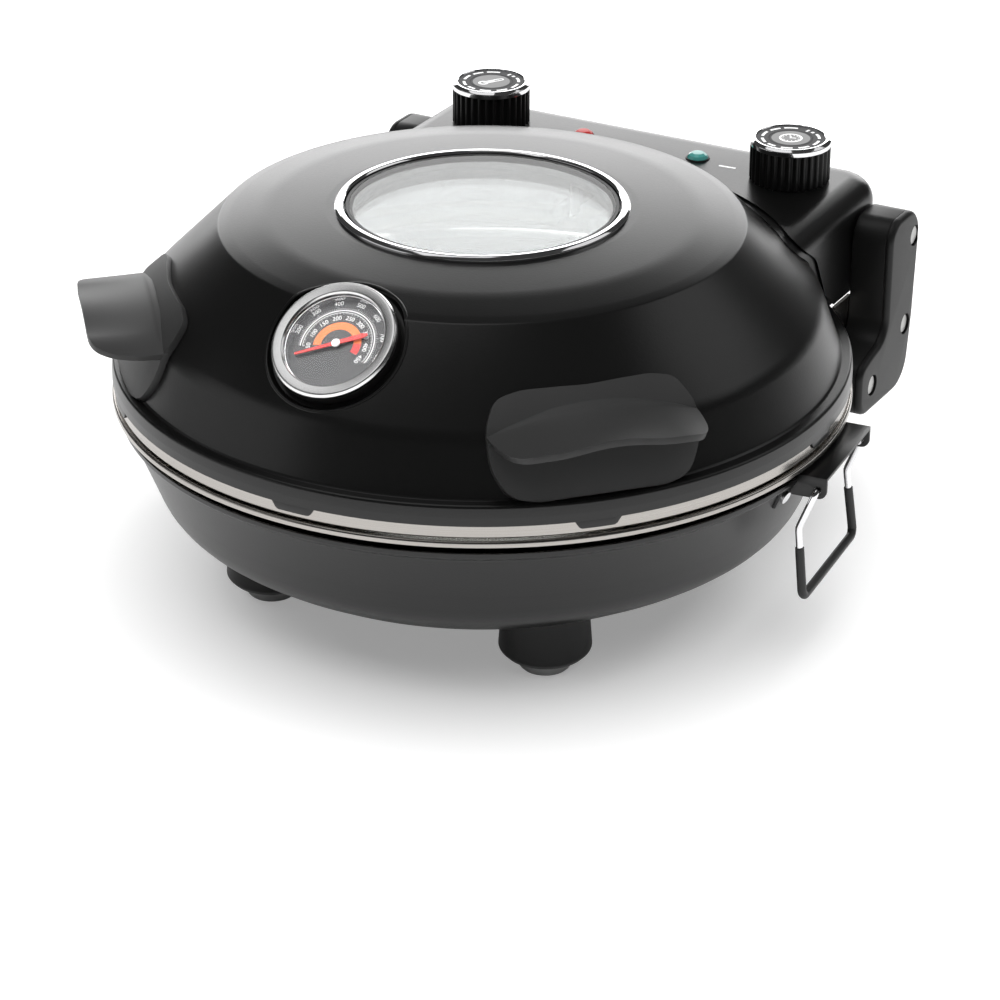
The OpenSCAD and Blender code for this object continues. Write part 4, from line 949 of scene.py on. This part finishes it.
def make_arm(side, sign):
    path = [(p.x, p.y) for p in rounded([(y, z, 0, r) for y, z, r in ARM_CORNERS], True, 6)]
    near, seam, out = sign * ARM_X, sign * ARM_COVER_X, sign * ARM_OUT_X
    shell = slab("arm_shell_" + side, path, near, seam)
    bevel_level(shell, near, 0.9, 3)
    bevel_level(shell, seam, 0.35, 2)
    cut(shell, slab("bore", circle_of(BORE_R, 48, HINGE), near - sign, near + sign * BORE_DEPTH))
    cover = slab("arm_cap_" + side, path, seam, out)
    bevel_level(cover, out, 2.6, 6)
    bevel_level(cover, seam, 0.35, 2)
    for spot in ARM_SCREWS:
        cut(cover, slab("recess", circle_of(RECESS_R, 40, spot), out - sign * RECESS_DEPTH, out + sign))
    for piece, node in ((shell, "hinge_arm_" + side), (cover, "arm_cover_" + side)):
        smooth(piece, 30)
        moved(piece, BOWL_AXIS @ UPRIGHT)
        finished(piece, BLACK_PLASTIC, "base", "black_plastic", node)


make_arm("left", -1)
make_arm("right", 1)

# ---- Bails ----

# Half of a bail as points (x, y, z, fillet): its end in the bracket, pivot, bend and lower corner
BAIL_END = (177, 26, 88.5, 0)
PIVOT = (177, 32.15, 88.5, 2.4)
BEND = (170, 32.85, 70, 6)
CORNER = (174, 35, 36.5, 4)
BAIL_TURN = 4.7
WIRE_D = 3.2
SLEEVE_D = 4.2
SLEEVE_START = 0.28


def both_halves(points):
    return points + [(x, -y, z, fillet) for x, y, z, fillet in reversed(points)]


def make_bails():
    sleeve_top = tuple(b + (c - b) * SLEEVE_START for b, c in zip(BEND[:3], CORNER)) + (0,)
    for side, turn in (("left", 180 - BAIL_TURN), ("right", BAIL_TURN)):
        place = BOWL_AXIS @ at(turn=turn)
        wire = tube("bail_rod_" + side, both_halves([BAIL_END, PIVOT, BEND, CORNER]), WIRE_D, place)
        finished(wire, CHROME, "bail_" + side, "chrome", "bail_wire_" + side)
        grip = tube("bail_grip_" + side, both_halves([sleeve_top, CORNER]), SLEEVE_D, place)
        finished(grip, BLACK_RUBBER, "bail_" + side, "black_rubber", "bail_sleeve_" + side)
        bracket = from_frame("bail_bracket_" + side, "bail_hook_" + side, 0.35, 2)
        finished(bracket, BLACK_PAINT, "base", "black_paint")


make_bails()

# ---- Thermometer ----

NEEDLE_REST = 30
DIAL_R = 22.9
BEZEL_R = 28.8
DIAL_Z = -GAUGE_DEPTH + 2.2
SCALE_LOW = 50
SCALE_HIGH = 450
DEGREES_PER_CELSIUS = 0.535
PRINT_T = 0.05
PRINT_LIFT = 0.01
FIGURE_SIZE = 2.9


def scale_angle(celsius):
    return 168 - (celsius - 100) * DEGREES_PER_CELSIUS


def flat_ring(inner, outer):
    """Profile of a printed ring."""
    return [(inner, 0), (outer, 0), (outer, PRINT_T), (inner, PRINT_T)]


def arc_strip(name, inner, outer, first, last):
    """A printed arc between two radii and two angles, with its middle at the origin."""
    steps = max(2, round(abs(last - first) / 3))
    return closed_ends(spun(name, flat_ring(inner, outer), steps=steps, angle=last - first,
                            place=at(turn=first), smoothing=0))


def closed_ends(piece):
    edit(piece, "DESELECT")
    bpy.ops.mesh.select_non_manifold()
    bpy.ops.mesh.edge_face_add()
    settle()
    return cleaned(piece)


def tick(radius, length, width, angle, thick=PRINT_T):
    """A printed bar that starts at a radius and points outward at an angle."""
    settle()
    bpy.ops.mesh.primitive_cube_add(size=1)
    piece = bpy.context.object
    piece.scale = (length * MM, width * MM, thick * MM)
    bpy.ops.object.transform_apply(scale=True)
    return moved(piece, at(turn=angle) @ at(radius + length / 2, 0, thick / 2))


def figure(text, size, radius, angle):
    """A number on the dial, upright along the radius."""
    settle()
    bpy.ops.object.text_add()
    piece = bpy.context.object
    piece.data.body = text
    piece.data.size = size * MM
    piece.data.align_x = "CENTER"
    piece.data.align_y = "CENTER"
    piece.data.extrude = 0.02 * MM
    bpy.ops.object.convert(target="MESH")
    piece = bpy.context.object
    return moved(piece, at(turn=angle) @ at(radius) @ at(turn=-90))


def make_bezel():
    bezel = spun("thermometer_rim", [
        (DIAL_R + 1, -3), (BEZEL_R - 0.2, -3), (BEZEL_R, -1.4, 0.5), (BEZEL_R - 0.8, 0.0, 0.7),
        (BEZEL_R - 1.8, 0.0), (DIAL_R + 1.9, -0.15), (DIAL_R + 0.9, -0.2, 0.5), (DIAL_R + 0.2, -1.1, 0.3),
        (DIAL_R + 0.2, -1.6), (DIAL_R + 1, -1.6),
    ], steps=160, place=GAUGE, smoothing=40)
    finished(bezel, SATIN_CHROME, "lid", "bright_steel", "thermometer_bezel")
    well = spun("thermometer_well", [
        (DIAL_R - 0.6, DIAL_Z), (DIAL_R + 0.6, DIAL_Z), (DIAL_R + 0.6, -3.1), (DIAL_R - 0.1, -3.1, 0.2),
    ], steps=128, place=GAUGE)
    finished(well, CHROME, "lid", "chrome")
    lens = pane_of_glass("thermometer_window", DIAL_R + 0.9, -3.0, -1.65, 0.3, 128, GAUGE)
    finished(lens, LENS_GLASS, "lid", "glass", "thermometer_lens")


def make_dial():
    """Two scales, Celsius inside and Fahrenheit outside, round a band of colour."""
    first, last = scale_angle(SCALE_LOW), scale_angle(SCALE_HIGH)
    white = [arc_strip("arc", 16.0, 16.2, first, last), arc_strip("arc", 16.9, 17.3, first, last)]
    for celsius in range(SCALE_LOW, SCALE_HIGH + 1, 10):
        long = celsius % 50 == 0
        white.append(tick(14.9 if long else 15.3, 1.1 if long else 0.7, 0.14, scale_angle(celsius)))
    for celsius in range(SCALE_LOW, SCALE_HIGH + 1, 50):
        white.append(figure(str(celsius), FIGURE_SIZE, 13.3, scale_angle(celsius)))
    for fahrenheit in range(130, 831, 10):
        long = fahrenheit % 100 == 0
        turn = scale_angle((fahrenheit - 32) / 1.8)
        white.append(tick(17.3, 1.7 if long else 1.0, 0.13, turn))
    for fahrenheit in range(200, 801, 100):
        white.append(figure(str(fahrenheit), FIGURE_SIZE, 20.7, scale_angle((fahrenheit - 32) / 1.8)))
    prints = (
        (joined("dial_print_white", white), PRINT_WHITE, "dial_face"),
        (arc_strip("dial_print_orange", 7.6, 11.2, 194, 16), PRINT_ORANGE, "needle_red"),
        (arc_strip("dial_print_red", 7.6, 11.2, 16, -14), NEEDLE_RED, "needle_red"),
    )
    for piece, look, slot in prints:
        moved(piece, GAUGE @ at(z=DIAL_Z + PRINT_LIFT))
        finished(piece, look, "lid", slot)


def make_needle():
    pivot_z = -4.6
    blade = rounded([(-19, -0.5, 0, 0.2), (-19, 0.5, 0, 0.2), (-4, 0.8, 0, 0), (12, 1.2, 0, 0.5),
                     (14.6, 0.5, 0, 0.4), (14.6, -0.5, 0, 0.4), (12, -1.2, 0, 0.5), (-4, -0.8, 0, 0)],
                    closed=True)
    needle = prism("needle_blade", blade, pivot_z + 0.1, pivot_z + 0.6, GAUGE @ at(turn=NEEDLE_REST))
    finished(needle, NEEDLE_RED, "needle", "needle_red")
    hub = spun("needle_hub", [(0, DIAL_Z), (0.9, DIAL_Z), (0.9, pivot_z), (2.0, pivot_z, 0.2),
                              (2.0, pivot_z + 0.9, 0.4), (0, pivot_z + 0.9)], steps=48, place=GAUGE)
    finished(hub, PRINT_WHITE, "needle", "white_plastic", "thermometer_needle")


make_bezel()
make_dial()
make_needle()

# ---- Knobs ----

KNOB_X = 82.8
KNOB_Y = 158.5
KNOB_R = 19.7
KNOB_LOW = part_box("timer_knob")[0].z / MM
KNOB_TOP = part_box("timer_knob_ring")[1].z / MM
INSERT_Z = KNOB_TOP - 0.7
CAP_LOW = KNOB_TOP - 3.6
CAP_R = 16.65


def knob_skirt(name, place):
    """Ribbed skirt with a rounded valley between two ribs."""
    ribs, points_each, rib_h, wall, hollow = 32, 10, 0.75, 2.4, 12
    path = []
    for i in range(ribs * points_each):
        wave = math.cos(2 * math.pi * i / points_each)
        radius = KNOB_R - 0.9 + rib_h * math.copysign(abs(wave) ** 0.5, wave)
        turn = 2 * math.pi * i / (ribs * points_each)
        path.append((radius * math.cos(turn), radius * math.sin(turn)))
    skirt = prism(name, path, KNOB_LOW, CAP_LOW - 0.1, Matrix.Identity(4))
    choose(skirt, "FACE", lambda face: face.normal.z < -0.9)
    bpy.ops.mesh.inset(thickness=wall * MM)
    bpy.ops.mesh.extrude_region_move(TRANSFORM_OT_translate={"value": (0, 0, hollow * MM)})
    chosen_done()
    smooth(skirt, 40)
    return moved(skirt, place)


def clock_face():
    """Clock with two hands and twelve hour marks."""
    hands = [tick(-0.6, 3.6, 0.8, 118), tick(-0.6, 3.2, 0.8, 20)]
    hours = [tick(3.5, 0.9, 0.5, turn) for turn in range(0, 360, 30)]
    rim = spun("rim", flat_ring(4.7, 5.7), steps=64, place=Matrix.Identity(4))
    return [rim] + hands + hours


def thermometer_sign():
    """Outlined thermometer that lies aslant, bulb at its lower end."""
    bulb = spun("bulb", flat_ring(1.5, 2.6), steps=40, place=at(-4.6))
    sides = [moved(tick(0, 8.4, 0.8, 0), at(-2.6, y)) for y in (-1.1, 1.1)]
    tip = moved(arc_strip("tip", 0.7, 1.5, -90, 90), at(5.6))
    column = moved(tick(0, 6.4, 0.7, 0), at(-4.6))
    return [moved(piece, at(turn=58)) for piece in [bulb, *sides, tip, column]]


def knob_marks(name, sign, place):
    """Dashes round the edge of a knob's face, and its sign in the middle."""
    dashes = ((100, 128), (136, 160), (170, 196), (208, 232), (242, 262), (-86, -62), (-50, -26),
              (-14, 12), (24, 50))
    marks = [arc_strip("dash", 13.1, 14.5, first, last) for first, last in dashes]
    marks += [tick(12.0, 2.6, 1.1, 76), tick(12.6, 1.6, 1.6, 62)]
    face = joined(name, marks + sign)
    return moved(face, place @ at(z=INSERT_Z + 2 * PRINT_LIFT))


def make_knobs():
    signs = {"temperature_knob": (-1, thermometer_sign), "timer_knob": (1, clock_face)}
    for knob, (side, sign) in signs.items():
        place = BOWL_AXIS @ at(side * KNOB_X, KNOB_Y)
        skirt = knob_skirt(knob + "_skirt", place)
        finished(skirt, BLACK_PLASTIC, knob, "black_plastic", knob)
        ring_in = CAP_R + 0.05
        ring = spun(knob + "_chrome", [
            (ring_in, CAP_LOW), (KNOB_R, CAP_LOW, 0.3), (KNOB_R, KNOB_TOP - 1.2, 0.8),
            (KNOB_R - 1.5, KNOB_TOP, 0.8), (ring_in + 0.4, KNOB_TOP, 0.4), (ring_in, KNOB_TOP - 0.5, 0.2),
        ], steps=96, place=place, smoothing=40)
        finished(ring, CHROME, knob, "chrome", knob + "_ring")
        insert = spun(knob + "_face", [
            (0, CAP_LOW), (CAP_R, CAP_LOW), (CAP_R, INSERT_Z), (10.9, INSERT_Z),
            (10.6, INSERT_Z - 0.3), (10.2, INSERT_Z), (0, INSERT_Z),
        ], steps=96, place=place)
        finished(insert, INSERT_GREY, knob, "insert_grey", knob + "_insert")
        disc_low, disc_top, disc_r = INSERT_Z - 0.2, INSERT_Z + 0.02, 9.4
        disc = spun(knob + "_disc", [(0, disc_low), (disc_r, disc_low), (disc_r, disc_top, 0.05),
                                     (0, disc_top)], steps=64, place=place)
        finished(disc, DISC_GREY, knob, "insert_grey")
        marks = knob_marks(knob + "_marks", sign(), place)
        finished(marks, PRINT_WHITE, knob, "white_plastic")


make_knobs()

# ---- Lamps and marks on the box ----

LAMP_X = 31.8
LAMP_Y = 161.8


def make_lamps():
    """Faceted lenses on their seats, and the timer's mark."""
    top, lens_r, shank_r = BOX_TOP, 5.3, 4.2
    for name, x, look, node in (("red_lens_cap", -LAMP_X, RED_LENS, "red_lamp"),
                                ("green_lens_cap", LAMP_X, GREEN_LENS, "green_lamp")):
        place = BOWL_AXIS @ at(x, LAMP_Y)
        lens = spun(name, [(0, top - 3), (shank_r, top - 3), (shank_r, top), (lens_r, top),
                           (lens_r, top + 0.7), (4.6, top + 2.0), (3.0, top + 3.0), (0, top + 3.2)],
                    steps=12, place=place, smoothing=8)
        finished(lens, look, "lid", node.replace("lamp", "lens"), node)
        seat = spun(name.replace("cap", "seat"), [(lens_r, top), (6.1, top), (5.9, top + 0.5, 0.2),
                                                  (lens_r, top + 0.6)], steps=64, place=place)
        finished(seat, BLACK_PLASTIC, "lid", "black_plastic")
    mark = tick(0, 8.8, 1.5, 4, 0.06)
    moved(mark, BOWL_AXIS @ at(45.4, 157.6, top))
    finished(named(mark, "timer_mark"), PRINT_WHITE, "lid", "white_plastic")


make_lamps()

# ---- Camera, floor and light ----

AZIMUTH = math.radians(28.67)
ELEVATION = math.radians(26.58)
DISTANCE = 1665.35
ROLL = math.radians(0.16)
LENS = 125.55
BACK = Vector((math.sin(AZIMUTH) * math.cos(ELEVATION), -math.cos(AZIMUTH) * math.cos(ELEVATION),
               math.sin(ELEVATION)))
RIGHT = Vector((math.cos(AZIMUTH), math.sin(AZIMUTH), 0))
UP = BACK.cross(RIGHT)
TARGET = RIGHT * 8.36 + Vector((0, AXIS_Y, 33.97))


def make_camera():
    data = bpy.data.cameras.new("camera")
    data.lens = LENS
    data.sensor_width = 36
    data.clip_end = 50
    camera = bpy.data.objects.new("camera", data)
    bpy.context.scene.collection.objects.link(camera)
    turn = Matrix((RIGHT, UP, BACK)).transposed().to_4x4() @ Matrix.Rotation(ROLL, 4, "Z")
    camera.matrix_world = Matrix.Translation((TARGET + BACK * DISTANCE) * MM) @ turn
    bpy.context.scene.camera = camera


def path_share(tree, *labels):
    """1 for the kinds of ray named, 0 for the others."""
    light_path = tree.nodes.new("ShaderNodeLightPath")
    total = light_path.outputs[labels[0]]
    for label in labels[1:]:
        total = math_node(tree, "MAXIMUM", total, light_path.outputs[label])
    return total


FLOOR_R = 9
FLOOR_TONE = 0.82
FLOOR_GLOW = 0.3
MIRRORED_GLOW = 0.12
# The floor's glow grows to full white between these reaches, in metres
FADE = (0.9, 2.6)
ROOM_TONE = 0.045


def make_floor():
    """Pale floor that keeps the object's shadow and fades into white far out."""
    settle()
    bpy.ops.mesh.primitive_circle_add(vertices=96, radius=FLOOR_R, fill_type="NGON")
    floor = named(bpy.context.object, "floor")
    material = bpy.data.materials.new("pale_floor")
    material.use_nodes = True
    tree = material.node_tree
    tree.nodes.clear()
    out = tree.nodes.new("ShaderNodeOutputMaterial")
    matt = tree.nodes.new("ShaderNodeBsdfDiffuse")
    matt.inputs["Color"].default_value = (*grey(FLOOR_TONE), 1)
    glow = tree.nodes.new("ShaderNodeEmission")
    seen = path_share(tree, "Is Camera Ray", "Is Transmission Ray")
    mirrored = math_node(tree, "MULTIPLY", path_share(tree, "Is Glossy Ray"), MIRRORED_GLOW)
    reach = tree.nodes.new("ShaderNodeVectorMath")
    reach.operation = "LENGTH"
    tree.links.new(place_node(tree), reach.inputs[0])
    fade = tree.nodes.new("ShaderNodeMapRange")
    for socket, value in zip(("From Min", "From Max", "To Min", "To Max"), (*FADE, FLOOR_GLOW, 1.0)):
        fade.inputs[socket].default_value = value
    tree.links.new(reach.outputs["Value"], fade.inputs["Value"])
    direct = math_node(tree, "MULTIPLY", seen, fade.outputs["Result"])
    tree.links.new(math_node(tree, "ADD", direct, mirrored), glow.inputs["Strength"])
    both = tree.nodes.new("ShaderNodeAddShader")
    tree.links.new(matt.outputs[0], both.inputs[0])
    tree.links.new(glow.outputs[0], both.inputs[1])
    tree.links.new(both.outputs[0], out.inputs["Surface"])
    floor.data.materials.append(material)


def make_world():
    """White where the camera sees past the floor, dim studio walls for everything else."""
    world = bpy.data.worlds.new("studio")
    bpy.context.scene.world = world
    world.use_nodes = True
    tree = world.node_tree
    tree.nodes.clear()
    out = tree.nodes.new("ShaderNodeOutputWorld")
    white = tree.nodes.new("ShaderNodeBackground")
    room = tree.nodes.new("ShaderNodeBackground")
    room.inputs["Color"].default_value = (*grey(ROOM_TONE), 1)
    mix = tree.nodes.new("ShaderNodeMixShader")
    tree.links.new(path_share(tree, "Is Camera Ray", "Is Transmission Ray"), mix.inputs[0])
    tree.links.new(room.outputs[0], mix.inputs[1])
    tree.links.new(white.outputs[0], mix.inputs[2])
    tree.links.new(mix.outputs[0], out.inputs["Surface"])


def softbox(name, heading, height, distance, width, tall, radiance):
    """An area lamp that looks at the object; heading and height are angles as seen from it."""
    data = bpy.data.lights.new(name, "AREA")
    data.shape = "RECTANGLE"
    data.size = width
    data.size_y = tall
    data.energy = 4 * radiance * width * tall
    lamp = bpy.data.objects.new(name, data)
    bpy.context.scene.collection.objects.link(lamp)
    yaw, pitch = math.radians(heading), math.radians(height)
    away = Vector((math.sin(yaw) * math.cos(pitch), math.cos(yaw) * math.cos(pitch), math.sin(pitch)))
    middle = Vector((0, 0, 0.12))
    lamp.location = middle + away * distance
    lamp.rotation_euler = away.to_track_quat("Z", "Y").to_euler()
    lamp.visible_camera = False
    return lamp


make_camera()
make_floor()
make_world()
BEHIND = -28.67
# Lamps that only show in reflections, and one that only lights
softbox("back_wall", BEHIND, 13.3, 2.6, 3.1, 1.3, 2.5).visible_diffuse = False
softbox("top_shine", -118, 76, 2.2, 1.5, 1.5, 0.7).visible_diffuse = False
softbox("left_wall", BEHIND - 100, 16, 2.4, 2.0, 1.2, 0.45).visible_diffuse = False
softbox("right_wall", 50, 38, 2.4, 1.4, 1.1, 0.6).visible_diffuse = False
softbox("overhead", 0, 89.9, 2.2, 4.5, 4.5, 2.1).visible_glossy = False
bpy.context.scene.view_settings.view_transform = "Standard"
